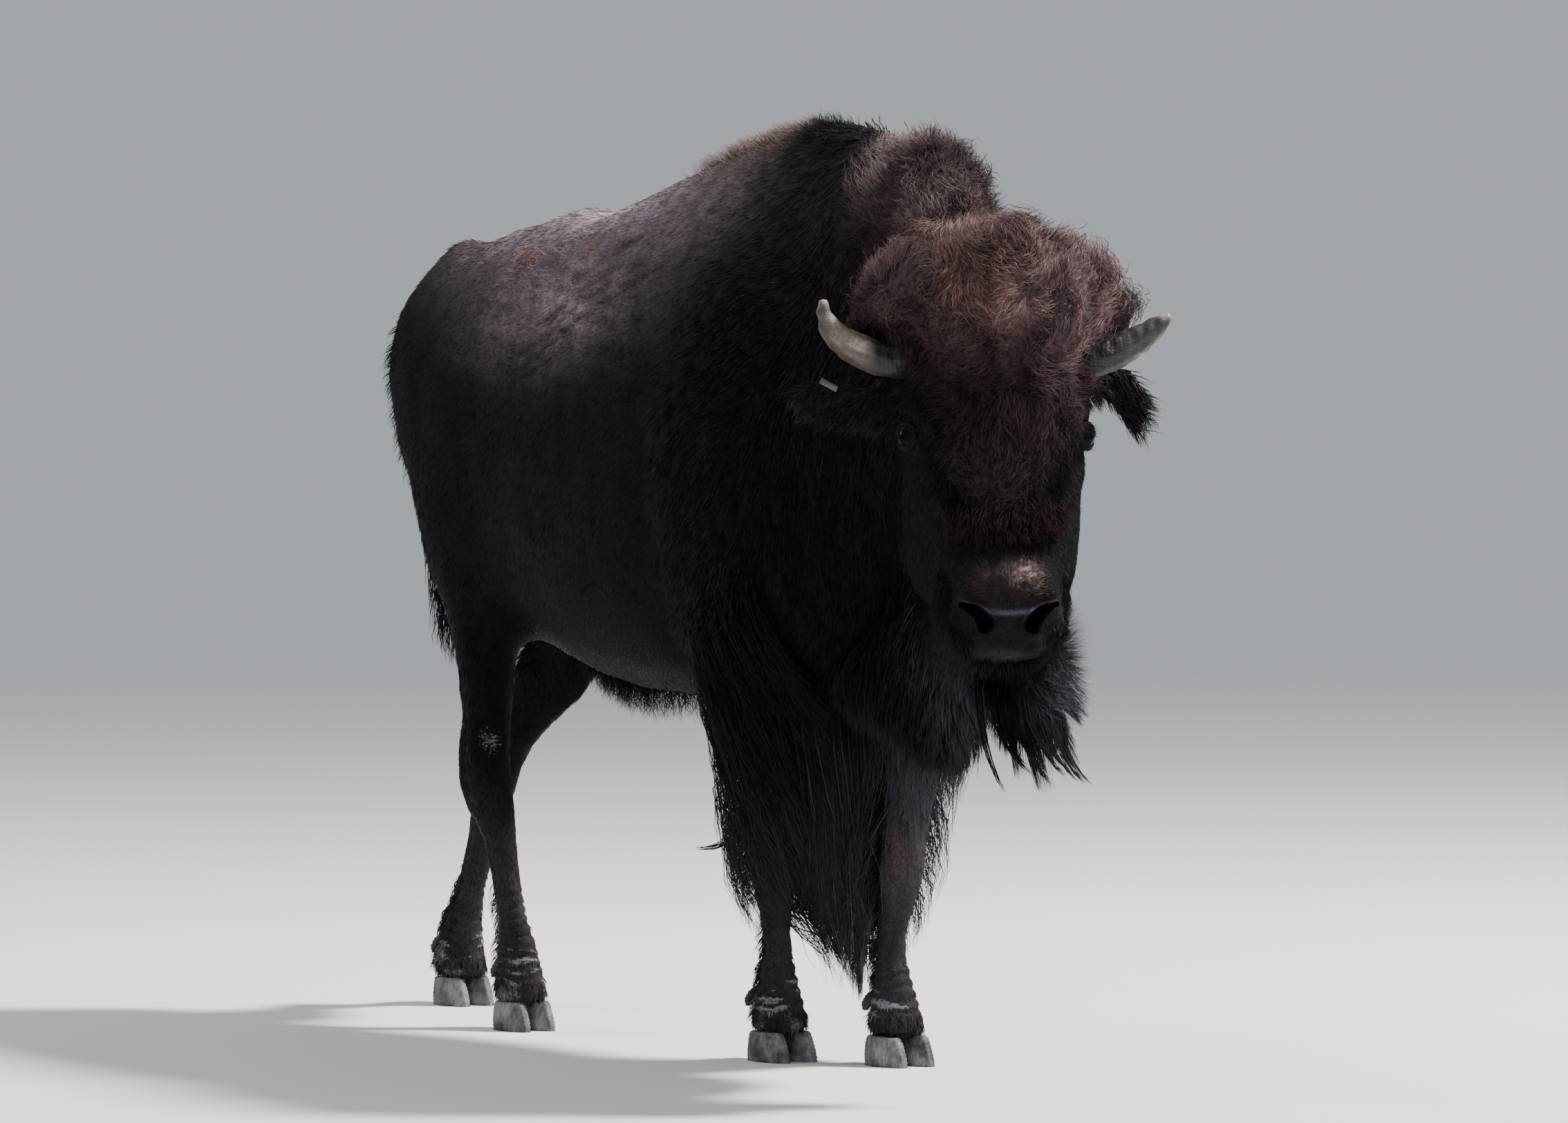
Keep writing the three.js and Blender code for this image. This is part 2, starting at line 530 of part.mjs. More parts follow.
const body = fleshJoined(GAP).add(hardSwollen).add(earsSwollen);
solids.crown_mop = mop(0).subtract(body);
solids.throat_mane = throatMane(0).subtract(body);
solids.neck_mane = neckMane(0).subtract(body).subtract(mop(GAP));
solids.beard = beard(0).subtract(body).subtract(throatMane(GAP));
solids.pantaloon_right = pantaloon(PANTALOON_RIGHT, -1).subtract(body).subtract(throatMane(GAP));
solids.pantaloon_left = pantaloon(PANTALOON_LEFT, 1).subtract(body).subtract(throatMane(GAP));
solids.belly_fringe = bellyFringe().subtract(body);
solids.tail_switch = tailSwitch(0).subtract(body);
const tagBasis = headBasis.clone().multiply(new THREE.Matrix4().makeRotationY(rad(28)));
solids.ear_tag = box([32, 7, 11], byHead(-110, -272, 86), tagBasis).subtract(earsSwollen);

const FINISH = [
  [/^(horn)/, COLOURS.horn, 0.55], [/^(claw|dewclaw)/, COLOURS.hoof, 0.7],
  [/^eye/, COLOURS.eye, 0.08], [/^ear_tag/, COLOURS.tag, 0.35, 0.9],
  [/^crown/, COLOURS.mop, 0.9], [/^neck_mane/, COLOURS.coatPale, 0.9],
  [/(mane|beard|pantaloon|fringe|switch)/, COLOURS.black, 0.85], [/./, COLOURS.coat, 0.8],
];
function asMesh(name, manifold) {
  const { vertProperties, triVerts } = largest(manifold).getMesh();
  const geometry = new THREE.BufferGeometry();
  geometry.setAttribute('position', new THREE.BufferAttribute(vertProperties, 3));
  geometry.setIndex(new THREE.BufferAttribute(triVerts, 1));
  geometry.computeVertexNormals();
  const [, color, roughness, metalness = 0] = FINISH.find(([test]) => test.test(name));
  const mesh = new THREE.Mesh(
    geometry, new THREE.MeshStandardMaterial({ color, roughness, metalness }),
  );
  mesh.name = name;
  return mesh;
}

const bison = new THREE.Group();
for (const [name, manifold] of Object.entries(solids)) bison.add(asMesh(name, manifold));

// the origin is the middle of the bounding box at the level of the soles
const bounds = new THREE.Box3().setFromObject(bison);
const middle = bounds.getCenter(new THREE.Vector3());
bison.position.set(-middle.x, -middle.y, -bounds.min.z);

export default bison;
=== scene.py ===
"""Looks of the still plains bison: one skin over its flesh, and its coat as solid tufts."""
import math

import bmesh
import bpy
import numpy as np
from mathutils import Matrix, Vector
from mathutils.bvhtree import BVHTree
from mathutils.kdtree import KDTree


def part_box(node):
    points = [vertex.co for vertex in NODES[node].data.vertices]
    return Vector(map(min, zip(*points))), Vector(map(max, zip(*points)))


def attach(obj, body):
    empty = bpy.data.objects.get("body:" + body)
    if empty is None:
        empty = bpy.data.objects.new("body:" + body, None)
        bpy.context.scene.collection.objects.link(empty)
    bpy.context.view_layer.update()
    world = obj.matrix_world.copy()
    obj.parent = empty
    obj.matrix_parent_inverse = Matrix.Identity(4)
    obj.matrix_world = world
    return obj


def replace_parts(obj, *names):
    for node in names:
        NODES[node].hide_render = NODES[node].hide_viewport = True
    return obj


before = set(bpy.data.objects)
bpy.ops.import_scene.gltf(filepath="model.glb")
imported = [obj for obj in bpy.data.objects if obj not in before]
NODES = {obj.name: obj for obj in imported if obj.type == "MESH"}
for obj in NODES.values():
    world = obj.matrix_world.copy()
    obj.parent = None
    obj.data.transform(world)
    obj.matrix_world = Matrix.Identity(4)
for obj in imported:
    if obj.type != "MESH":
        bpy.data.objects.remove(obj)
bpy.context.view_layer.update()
RNG = np.random.default_rng(11)
SHARE = 1.0   # of the tufts, while trying things
SIDES = ((-1, "right"), (1, "left"))

# ---------------- the animal's own frame
# It faces -Y, its right side is -X, metres. ORIGIN is where its own origin lies in the frame.
UP = np.array([0.0, 0.0, 1.0])
TURN, PITCH = math.radians(26), math.radians(50)
AHEAD = np.array([-math.sin(TURN), -math.cos(TURN), 0.0])
LEFT = np.array([math.cos(TURN), -math.sin(TURN), 0.0])
FACE = AHEAD * math.cos(PITCH) - UP * math.sin(PITCH)     # from the eyes to the nose
BROW = AHEAD * math.sin(PITCH) + UP * math.cos(PITCH)     # up off the face


def middle(node):
    lo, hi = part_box(node)
    return (np.array(lo) + np.array(hi)) / 2


EYES = {side: middle(f"eye_{name}") for side, name in SIDES}
EYE_RADIUS = float((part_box("eye_left")[1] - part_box("eye_left")[0])[2]) / 2
EYE_MID = (EYES[-1] + EYES[1]) / 2 - 0.002 * (FACE + BROW)
EYE_HEIGHT = 1.110
ORIGIN = EYE_MID - np.array([-0.100, -1.292, EYE_HEIGHT])
EAR_BOX = {side: [np.array(c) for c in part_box(f"ear_{name}")] for side, name in SIDES}
# right hind, left hind, right fore, left fore: place across, place along at CANNON_HEIGHT, and slope
CANNON_HEIGHT = 0.262
CANNONS = ((-0.108, 0.352, 0.11), (0.106, 0.834, -0.33), (-0.060, -0.507, -0.05), (0.078, -0.668, 0))
# folds of the loin: height where y is 0, middle and length of each
FOLDS = ((1.345, -0.10, 0.13), (1.308, -0.02, 0.18), (1.276, 0.02, 0.22), (1.240, -0.07, 0.26),
         (1.206, 0.05, 0.16))


def body(x, y, z):
    return ORIGIN + np.array([x, y, z])


def head(a, s, n):
    return EYE_MID + a * FACE + s * LEFT + n * BROW


def level(ahead, s, z):
    return EYE_MID + ahead * AHEAD + s * LEFT + z * UP


def in_body(p):
    return (p - ORIGIN).T


def in_head(p):
    d = p - EYE_MID
    return d @ FACE, d @ LEFT, d @ BROW


def forward(p):
    """How far p lies in front of the eyes."""
    return (p - EYE_MID) @ AHEAD


def above_eyes(p):
    return (p - EYE_MID) @ UP


def from_eyes(p):
    """Distance to the nearer eye."""
    return np.minimum(*[np.linalg.norm(p - c, axis=1) for c in EYES.values()])


def step(lo, hi, x):
    """A smooth ramp from 0 at lo to 1 at hi."""
    t = np.clip((x - lo) / (hi - lo), 0, 1)
    return t * t * (3 - 2 * t)


def bell(x):
    return np.exp(-x ** 2)


def near(p, c, r):
    """1 at c, falling off over r, which is one length or one per axis."""
    return np.exp(-(((p - c) / r) ** 2).sum(1))


def unit(v):
    return v / (np.linalg.norm(v, axis=-1, keepdims=True) + 1e-12)


def wander(p, scale, seed):
    """A soft pseudo-random field from -1 to 1, the same for skin and hair."""
    r = np.random.default_rng(seed)
    total = np.zeros(len(p))
    for _ in range(12):
        k = unit(r.normal(size=3)) * scale * r.uniform(0.5, 1.8)
        total += np.sin(p @ k * 2 * math.pi + r.uniform(0, 6.28))
    return total / 4.2


def loin_folds(p):
    """Depth from 0 to 1 of the slack folds that run down and back over the loin."""
    x, y, z = in_body(p)
    rise = z + 0.43 * y + 0.006 * wander(p, 2.2, 22)
    depth = np.zeros(len(p))
    for at, mid, length in FOLDS:
        depth += bell((rise - at) / 0.0095) * np.exp(-((y - mid) / length) ** 4)
    return depth * step(0.04, 0.12, np.abs(x)) * np.clip(0.75 + 0.4 * wander(p, 6, 24), 0.2, 1.2)


def ear_share(p, side):
    lo, hi = EAR_BOX[side]
    return step(0.012, -0.004, np.maximum(lo - p, p - hi).max(1))


def on_ears(p):
    return np.maximum(ear_share(p, -1), ear_share(p, 1))


def nostril(p, side):
    """The slanting comma of a nostril: depth into the opening (1 at its axis), place above it, a."""
    d = p - EYE_MID
    x, y = (d @ LEFT) * side - 0.040, d @ UP + 0.3040
    wide, tall = 0.038, 0.032
    along = np.clip((x * wide + y * tall) / (wide ** 2 + tall ** 2), 0, 1)
    bow = 0.007 * np.sin(along * math.pi)
    over = (y * wide - x * tall) / math.hypot(wide, tall)            # above the axis
    end = np.hypot(x - along * wide, y - along * tall)
    width = 0.0155 - 0.0095 * along
    return (1 - np.sqrt((over - bow) ** 2 + np.maximum(end ** 2 - over ** 2, 0)) / width,
            (over - bow) / width, d @ FACE)


def pad_rim(p):
    """1 on the glossy ridge that closes the nose pad above, from nostril to nostril."""
    d = p - EYE_MID
    s, up = d @ LEFT, d @ UP
    off = up + 0.2835 - 0.0150 * (s / 0.079) ** 2
    return bell(off / 0.0050) * step(0.086, 0.074, np.abs(s)) * (d @ FACE > 0.28)


# ---------------- markings, and painted light and shade
def coat_colour(p):
    """Linear colour of the coat at points p, with light and shade painted into it in places, shared by the
    skin and every tuft.
    """
    q = p - ORIGIN
    x, y, z = q.T
    a, s, n = in_head(p)
    ahead = forward(p)
    up = z - EYE_HEIGHT
    rough = wander(p, 9, 3)
    fine = wander(p, 26, 4)
    colour = np.tile([0.0056, 0.0053, 0.0062], (len(p), 1))

    def mix(amount, rgb):
        amount = np.clip(amount, 0, 1)[:, None]
        colour[:] = colour * (1 - amount) + np.array(rgb) * amount

    def spots(at, *rows, within=1.0):
        """Soft patches: amount, centre, reach, colour, and for mottled ones how dense and how uneven."""
        for amount, centre, reach, rgb, *mottled in rows:
            grain = mottled[0] + mottled[1] * fine if mottled else 1.0
            mix(amount * near(at, centre, reach) * within * grain, rgb)

    # paler, browner back from the hump to the croup, less so on the left: painted sunlight on the back, with
    # brighter painted highlights on the loin and croup
    rise = z + 0.16 * np.clip(y, -0.1, 0.3) - 0.35 * np.clip(y - 0.22, 0, 0.5)
    back = step(1.15, 1.5, rise) * step(-0.62, -0.05, y)
    mix(0.85 * back * (0.9 + 0.1 * rough) * (1 - 0.35 * step(-0.02, 0.16, x)), (0.110, 0.086, 0.096))
    # painted highlights where the sun falls on the croup and the loin
    spots(q, (0.75, [0, 0.1, 1.5], [0.24, 0.5, 0.10], (0.300, 0.235, 0.272)),
          (0.60, [-0.2, 0.0, 1.31], [0.12, 0.20, 0.09], (0.290, 0.225, 0.255), 0.9, 0.3))
    # painted shade in the folds of the loin
    mix(0.68 * np.clip(loin_folds(p), 0, 1), (0.014, 0.012, 0.014))
    # flank and lower barrel faintly brown, and painted shade under the belly, nearly black
    spots(q, (0.25, [0, -0.25, 0.8], [0.5, 0.4, 0.2], (0.010, 0.008, 0.0075)),
          (0.7, [0, 0.0, 0.56], [0.45, 0.60, 0.14], (0.0026, 0.0025, 0.0030)))
    # golden fringe along the back of the hump
    fringe = bell(x / 0.07) * step(-0.60, -0.50, y) * step(-0.12, -0.28, y) * step(1.50, 1.56, z)
    mix(0.8 * fringe, (0.200, 0.147, 0.128))
    # head: cheeks black, mop brown with a golden crown, painted sunlight on its left side and painted shade
    # on its right
    on_head = step(-0.22, -0.10, ahead) * step(0.32, 0.26, np.abs(s))
    mix(on_head * step(-0.24, -0.06, up) * step(0.055, 0.10, n), (0.042, 0.0272, 0.0305))
    crown = on_head * step(0.10, 0.26, up) * step(0.06, 0.14, n)
    mix(0.75 * crown * (0.85 + 0.25 * rough), (0.150, 0.094, 0.098))
    spots(p, (0.55, level(0.10, -0.05, 0.27), 0.10, (0.265, 0.150, 0.132), 0.9, 0.3),
          # painted sunlight on the left side of the mop
          (0.65, level(0.06, 0.16, 0.22), [0.12, 0.12, 0.14], (0.215, 0.138, 0.146)),
          # painted shade on the right side of the mop, high and low
          (0.5, level(0.06, -0.18, 0.16), [0.10, 0.10, 0.12], (0.032, 0.0195, 0.0215)),
          (0.8, level(0.08, -0.13, 0.02), [0.09, 0.075, 0.12], (0.0120, 0.0085, 0.0098)),
          (0.6, level(0.12, -0.01, 0.045), [0.10, 0.07, 0.05], (0.0260, 0.0180, 0.0205)), within=on_head)
    mix(0.6 * (on_head * step(0.06, -0.10, up) * step(0.05, 0.09, n)), (0.056, 0.040, 0.046))
    # beard and chin paler and bluish grey: painted sheen
    mix(0.85 * step(-0.22, -0.12, ahead) * step(-0.37, -0.45, up), (0.0300, 0.0295, 0.0370))
    # neck mane and the pale unshed wool at the front of the hump
    spots(q, (1.0, [-0.05, -1.00, 1.56], [0.24, 0.17, 0.16], (0.074, 0.052, 0.052)))
    shed = (near(q, [-0.135, -0.935, 1.575], [0.055, 0.05, 0.055])
            + near(q, [-0.075, -0.93, 1.625], [0.07, 0.05, 0.03])
            + 0.9 * near(q, [-0.160, -1.155, 1.50], [0.05, 0.06, 0.045]))
    mix(shed * (1.0 + 0.25 * fine), (0.200, 0.150, 0.140))
    # muzzle: dark bare pad with a painted bluish highlight on its upper rim, pale lip, brown hair above, and
    # a pale mottled patch of painted sunlight on the left
    mix(step(0.31, 0.34, a) * step(0.085, 0.06, np.abs(s)) * step(0.05, 0.03, n), (0.0060, 0.0056, 0.0060))
    spots(p, (0.8, head(0.325, 0.0, 0.040), [0.055, 0.055, 0.034], (0.028, 0.020, 0.021), 0.8, 0.5))
    # painted highlight on the glossy rim above the pad
    mix(0.9 * pad_rim(p), (0.040, 0.042, 0.056))
    spots(p, (0.6, head(0.396, 0, -0.088), [0.06, 0.06, 0.012], (0.034, 0.032, 0.025)),
          # painted sunlight: a pale mottled patch on the left of the muzzle
          (0.7, head(0.350, 0.070, -0.062), [0.028, 0.028, 0.030], (0.100, 0.083, 0.090), 0.7, 0.6))
    # painted shade: the nostrils darker inside
    for side in EYES:
        mix(step(-0.20, 0.40, nostril(p, side)[0]) * (a > 0.29), (0.0022, 0.0020, 0.0027))
    # worn rusty spots on the loin, and browner lower legs
    spots(q, (0.6, [-0.141, 0.22, 1.39], [0.05, 0.07, 0.03], (0.120, 0.052, 0.040), 0.8, 0.6),
          (0.6, [-0.142, 0.008, 1.42], [0.05, 0.07, 0.03], (0.120, 0.052, 0.040), 0.8, 0.6))
    mix(0.7 * step(0.50, 0.26, z), (0.030, 0.0255, 0.0255))
    # long hair of the left foreleg and the left of the brisket, paler and bluish: painted sheen on the
    # foreleg's hair and painted sunlight on the brisket
    spots(q, (0.8, [0.10, -0.68, 0.46], [0.09, 0.20, 0.20], (0.0480, 0.0465, 0.0570)),
          (0.85, [0.12, -0.86, 0.65], [0.09, 0.16, 0.14], (0.066, 0.063, 0.072), 0.9, 0.3))
    # ears and lids, and rusty hair below the left knee
    for side, eye in EYES.items():
        mix(0.8 * ear_share(p, side), (0.0190, 0.0160, 0.0175))
        spots(p, (0.8, eye, 0.027, (0.0150, 0.0140, 0.0165)))
    spots(q, (0.6, [0.03, -0.74, 0.37], [0.05, 0.06, 0.05], (0.070, 0.034, 0.023)))
    return np.clip(colour * (1 + 0.08 * rough + 0.12 * fine)[:, None], 0.002, 1)


def wrinkle(p):
    """-1..1 across the level wrinkles of skin round the fetlocks and pasterns, 18 mm apart."""
    z = in_body(p)[2] + 0.006 * wander(p, 12, 31)
    return np.cos(z / 0.009 * math.pi) * step(0.28, 0.22, z) * step(0.075, 0.095, z)


# pale bluish grey: dried mud, and on the feet painted sheen along the wrinkles
MUD_AND_SHEEN = (0.255, 0.245, 0.268)


def mud_and_sheen(p):
    """How much of the pale crust colour lies at p: caked earth on one gaskin, a pale streak down the back of
    one cannon, and on the feet caked earth with painted sheen along the ridges of the wrinkles.
    """
    q = p - ORIGIN
    x, y, z = q.T
    # on the feet: dried mud, with painted sheen on the ridges of the wrinkles
    feet = step(0.28, 0.05, z) * np.clip(0.42 + 0.38 * wrinkle(p) + 0.45 * wander(p, 14, 8), 0, 1)
    gaskin = 0.60 * near(q, [-0.165, 0.325, 0.515], [0.05, 0.045, 0.050])
    line = 0.388 + 0.30 * (z - 0.30)
    cannon = 0.62 * bell((y - line) / 0.012) * step(0.14, 0.20, z) * step(0.44, 0.37, z) * (x < -0.08)
    return np.clip(feet + gaskin + cannon, 0, 1)


# ---------------- mesh help
def read(items, key, width=3, kind=np.float32):
    """One property of every vertex, edge or corner, as rows."""
    values = np.empty(len(items) * width, kind)
    items.foreach_get(key, values)
    return values.reshape(-1, width)


def coordinates(mesh):
    return read(mesh.vertices, "co").astype(float)


def normals(mesh):
    return read(mesh.vertex_normals, "vector").astype(float)


def corners(mesh):
    mesh.calc_loop_triangles()
    return read(mesh.loop_triangles, "vertices", kind=np.int32)


def place(mesh, co):
    mesh.vertices.foreach_set("co", np.ascontiguousarray(co, np.float32).ravel())
    mesh.update()


def linked(name, data):
    obj = bpy.data.objects.new(name, data)
    bpy.context.scene.collection.objects.link(obj)
    return obj


def mesh_of(bm, name):
    """The shape of a bmesh as a mesh; the bmesh is freed."""
    mesh = bpy.data.meshes.new(name)
    bm.to_mesh(mesh)
    bm.free()
    return mesh


def applied(obj):
    """The mesh of an object under its modifiers; the object goes."""
    bpy.context.view_layer.update()
    made = bpy.data.meshes.new_from_object(obj.evaluated_get(bpy.context.evaluated_depsgraph_get()))
    bpy.data.objects.remove(obj)
    return made


def add(name, mesh, material):
    mesh.name = name
    obj = linked(name, mesh)
    mesh.polygons.foreach_set("use_smooth", np.ones(len(mesh.polygons), bool))
    mesh.materials.clear()
    mesh.materials.append(material)
    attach(obj, "root")
    return obj


def remeshed(names, growth, voxel):
    """One closed mesh around the named CAD nodes, each grown a little so that they meet."""
    bm = bmesh.new()
    for name in names:
        one = bmesh.new()
        one.from_mesh(NODES[name].data)
        bmesh.ops.remove_doubles(one, verts=one.verts, dist=1e-5)
        one.normal_update()
        for v in one.verts:
            v.co += v.normal * (growth + EAR_GROWTH * name.startswith("ear_"))
        bm.from_mesh(mesh_of(one, "grown"))
    obj = linked("rough", mesh_of(bm, "rough"))
    modifier = obj.modifiers.new("remesh", "REMESH")
    modifier.mode = "VOXEL"
    modifier.voxel_size = voxel
    return applied(obj)


def relax(mesh, rounds, share, back=0.0):
    """Laplacian smoothing; share is a number per vertex, back undoes most of the shrinking."""
    co = coordinates(mesh)
    one, two = read(mesh.edges, "vertices", 2, np.int32).T
    count = len(co)
    degree = np.maximum(np.bincount(one, minlength=count) + np.bincount(two, minlength=count), 1)
    share = np.broadcast_to(share, count)[:, None]
    for _ in range(rounds):
        for factor in (0.5, -back) if back else (0.5,):
            total = np.stack([np.bincount(one, co[two, k], count) + np.bincount(two, co[one, k], count)
                              for k in range(3)], 1)
            co += share * factor * (total / degree[:, None] - co)
    place(mesh, co)


def soften(mesh, rounds, share=1.0):
    """Smoothing that keeps the size."""
    relax(mesh, rounds, share, back=0.53)


def refine(mesh, inside):
    """Halves the edges whose two ends are both inside."""
    keep = inside(coordinates(mesh))
    bm = bmesh.new()
    bm.from_mesh(mesh)
    bm.verts.ensure_lookup_table()
    edges = [e for e in bm.edges if keep[e.verts[0].index] and keep[e.verts[1].index]]
    bmesh.ops.subdivide_edges(bm, edges=edges, cuts=1, use_grid_fill=True)
    bmesh.ops.triangulate(bm, faces=[f for f in bm.faces if len(f.verts) > 4])
    bm.to_mesh(mesh)
    bm.free()


# ---------------- skin
EAR_GROWTH = 0.0040                    # keeps the thin ears whole while the skin is made
FLESH = ["trunk", "neck", "head", "tail", "ear_right", "ear_left"] + [
    f"{limb}_{part}_{side}" for limb in ("foreleg", "hindleg")
    for part in ("upper", "lower") for side in ("right", "left")]
EYE_OUT = {side: unit(AHEAD * 0.64 + LEFT * side * 0.77 + UP * 0.02) for side in EYES}   # the way it looks
EYE_TILT = math.radians(14)            # how far the opening between the lids slants
EYE_CORNER = 0.0230                    # from the middle of an eye to where its lids meet
ELBOW = np.array([0.262, -0.555, 0.80])


def coat_depth(p):
    """How far the skin lies under the tips of the short coat."""
    on_head = step(-0.16, -0.06, forward(p))
    depth = 0.0025 + 0.0055 * step(0.38, 0.66, in_body(p)[2])
    depth = depth * (1 - on_head) + on_head * (0.005 - 0.003 * step(0.18, 0.32, in_head(p)[0]))
    return depth * (1 - on_ears(p))


def around_eye(p, side):
    """Polar place round an eye: distance from its centre, arc from its middle, and across/up."""
    out = EYE_OUT[side]
    across = unit(np.cross(out, UP) * -side)           # toward the corner beside the nose
    tall = unit(UP - (UP @ out) * out)
    cos, sin = math.cos(EYE_TILT), math.sin(EYE_TILT)
    across, tall = across * cos - tall * sin, tall * cos + across * sin
    d = p - EYES[side]
    r = np.linalg.norm(d, axis=1)
    u = d / (r[:, None] + 1e-9)
    arc = np.arccos(np.clip(u @ out, -1, 1)) * EYE_RADIUS
    flat = np.stack([u @ across, u @ tall], 1)
    flat = flat / (np.linalg.norm(flat, axis=1, keepdims=True) + 1e-9) * arc[:, None]
    return r, u, arc, flat[:, 0], flat[:, 1]


def lid_gap(across, tall):
    """Above 0 between the lids, below 0 on them, in metres."""
    share = across / EYE_CORNER
    lid = np.where(tall > 0, 0.0150, 0.0140) * (1 - np.clip(np.abs(share), 0, 1) ** 2.4)
    return np.where(np.abs(share) < 1, lid - np.abs(tall), -np.hypot(np.abs(across) - EYE_CORNER, tall))


def lid_edge(p, side):
    return 0.0035 - np.abs(lid_gap(*around_eye(p, side)[3:]))


def eyelids(p):
    """Draws the skin over each eyeball and leaves an almond opening between the lids."""
    p = p.copy()
    for side, centre in EYES.items():
        r, u, arc, across, tall = around_eye(p, side)
        gap = lid_gap(across, tall)
        above = step(-0.004, 0.006, tall)

        def ridge(at, wide):
            return bell((gap + at) / wide)
        target = EYE_RADIUS + 0.0022 + 0.0014 * ridge(0.0025, 0.0020)
        target += above * (0.0060 * ridge(0.0100, 0.0050) - 0.0018 * ridge(0.0055, 0.0016)
                           + 0.0050 * ridge(0.0180, 0.0060))
        target += (1 - above) * (0.0030 * ridge(0.0090, 0.0035) - 0.0014 * ridge(0.0056, 0.0014))
        target += (EYE_RADIUS - 0.0060 - target) * step(-0.0004, 0.0012, gap)
        hold = step(0.044, 0.022, arc) * step(0.062, 0.040, r)
        p += (u * (target - r)[:, None]) * hold[:, None]
    return p


def swell(total, p, *forms):
    """Adds rounded forms to total: the height, centre and reach of each."""
    for height, centre, reach in forms:
        total += height * near(p, centre, reach)


def sculpt(p):
    """Muscle, bone, wrinkles and the forms of the face, as a distance along the normal."""
    x, y, z = in_body(p)
    q = np.stack([np.abs(x), y, z], 1)
    out = np.zeros(len(p))
    # wrinkles above the hooves, folds over the loin, and the ribs faintly below them
    out += 0.0018 * wrinkle(p)
    out -= 0.0065 * loin_folds(p)
    ribs = np.sin((y * 0.93 - z * 0.30) / 0.090 * 2 * math.pi)
    out += (0.0009 * ribs * step(-0.45, -0.30, y) * step(0.12, -0.02, y)
            * step(0.82, 0.95, z) * step(1.24, 1.12, z))
    # wrinkles of thin skin at the elbow, and a finer net of them above it
    crease = np.abs(np.sin((z - 0.10 * y + 0.004 * np.sin(y * 46)) / 0.0125 * math.pi)) - 0.6
    out += 0.0040 * crease * near(q, [0.262, -0.555, 0.775], [0.09, 0.075, 0.036])
    cross = np.sin(y / 0.010 * 2 * math.pi + z * 40) + np.sin(z / 0.012 * 2 * math.pi)
    out += 0.0006 * cross * near(q, [0.262, -0.55, 0.860], [0.09, 0.08, 0.05])
    # hips, loin and tail head
    swell(out, q,
          (0.012, [0.215, 0.25, 1.375], [0.06, 0.055, 0.04]),
          (-0.011, [0.22, 0.08, 1.27], [0.09, 0.09, 0.08]),
          (0.009, [0.0, 0.215, 1.485], [0.06, 0.06, 0.05]), (-0.010, [0.0, 0.09, 1.49], [0.06, 0.05, 0.05]),
          (0.006, [0.0, 0.46, 1.45], [0.05, 0.05, 0.05]), (-0.005, [0.0, 0.56, 1.43], [0.05, 0.04, 0.05]),
          (0.010, [0.0, 0.68, 1.41], [0.05, 0.045, 0.05]), (-0.008, [0.10, 0.38, 1.42], [0.05, 0.16, 0.04]),
          (0.007, [0.17, 0.46, 1.34], [0.03, 0.20, 0.03]))
    # haunch, shoulder and elbow
    swell(out, q,
          (-0.008, [0.23, 0.47, 1.12], [0.10, 0.05, 0.16]), (0.008, [0.22, 0.33, 0.92], [0.1, 0.10, 0.14]),
          (-0.010, [0.20, 0.30, 0.72], [0.05, 0.035, 0.05]), (-0.012, [0.27, -0.42, 1.0], [0.12, 0.05, 0.26]),
          (0.008, [0.27, -0.66, 1.00], [0.12, 0.035, 0.18]), (0.008, [0.27, -0.54, 1.12], [0.1, 0.10, 0.18]),
          (-0.009, [0.25, -0.78, 1.16], [0.1, 0.05, 0.22]), (0.014, [0.20, -0.90, 0.93], [0.1, 0.06, 0.08]))
    out += 0.0018 * wander(p, 5.5, 21) * step(0.6, 0.9, z)
    # tendons behind the cannons and the hollows of the hocks
    for cx, cy, slope in CANNONS:
        line = cy + slope * (z - CANNON_HEIGHT)
        groove = bell((y - line - 0.008) / 0.007) * step(0.16, 0.20, z) * step(0.36, 0.31, z)
        out -= 0.0036 * groove * (np.abs(x - cx) < 0.06)
    swell(out, q, (-0.006, [0.150, 0.425, 0.50], [0.03, 0.022, 0.06]),
          (-0.006, [0.155, 0.775, 0.53], [0.03, 0.022, 0.05]))
    # face: cheekbones, brows, the bulges round the nostrils
    a, s, n = in_head(p)
    out += 0.0042 * pad_rim(p)
    face = np.zeros(len(p))
    swell(face, np.stack([a, np.abs(s), n], 1),
          (0.006, [0.06, 0.150, -0.130], [0.07, 0.06, 0.07]),
          (-0.006, [0.200, 0.120, -0.070], [0.06, 0.05, 0.035]),
          (0.006, [0.120, 0.125, -0.02], [0.09, 0.03, 0.020]),
          (0.007, [0.034, 0.160, -0.030], [0.026, 0.03, 0.020]),
          (0.012, [-0.030, 0.150, 0.046], [0.035, 0.03, 0.022]),
          (0.006, [0.345, 0.080, 0.016], [0.024, 0.024, 0.020]),
          (-0.008, [0.300, 0.088, -0.045], [0.03, 0.03, 0.022]),
          (0.009, [0.362, 0.080, -0.050], [0.04, 0.022, 0.022]),
          (-0.005, [0.376, 0.0, -0.030], [0.03, 0.030, 0.028]))
    # the mouth: a groove between the lips, a pale upper lip over it, and the split below the nose
    lips = n + 0.098 + 0.10 * (0.39 - a) + 0.003 * np.cos(s / 0.03 * math.pi) * (np.abs(s) < 0.045)
    mouth = step(0.066, 0.046, np.abs(s))
    face -= 0.0070 * bell(lips / 0.0030) * step(0.24, 0.30, a) * mouth
    face -= 0.0050 * step(0.004, -0.012, lips) * step(-0.05, -0.03, lips) * step(0.26, 0.33, a)
    face += 0.0030 * bell((lips - 0.008) / 0.006) * step(0.26, 0.33, a) * mouth
    face -= (0.0030 * bell(s / 0.003) * step(0.352, 0.372, a)
             * step(-0.092, -0.080, n) * step(-0.045, -0.06, n))
    return out + step(-0.10, -0.04, forward(p)) * face


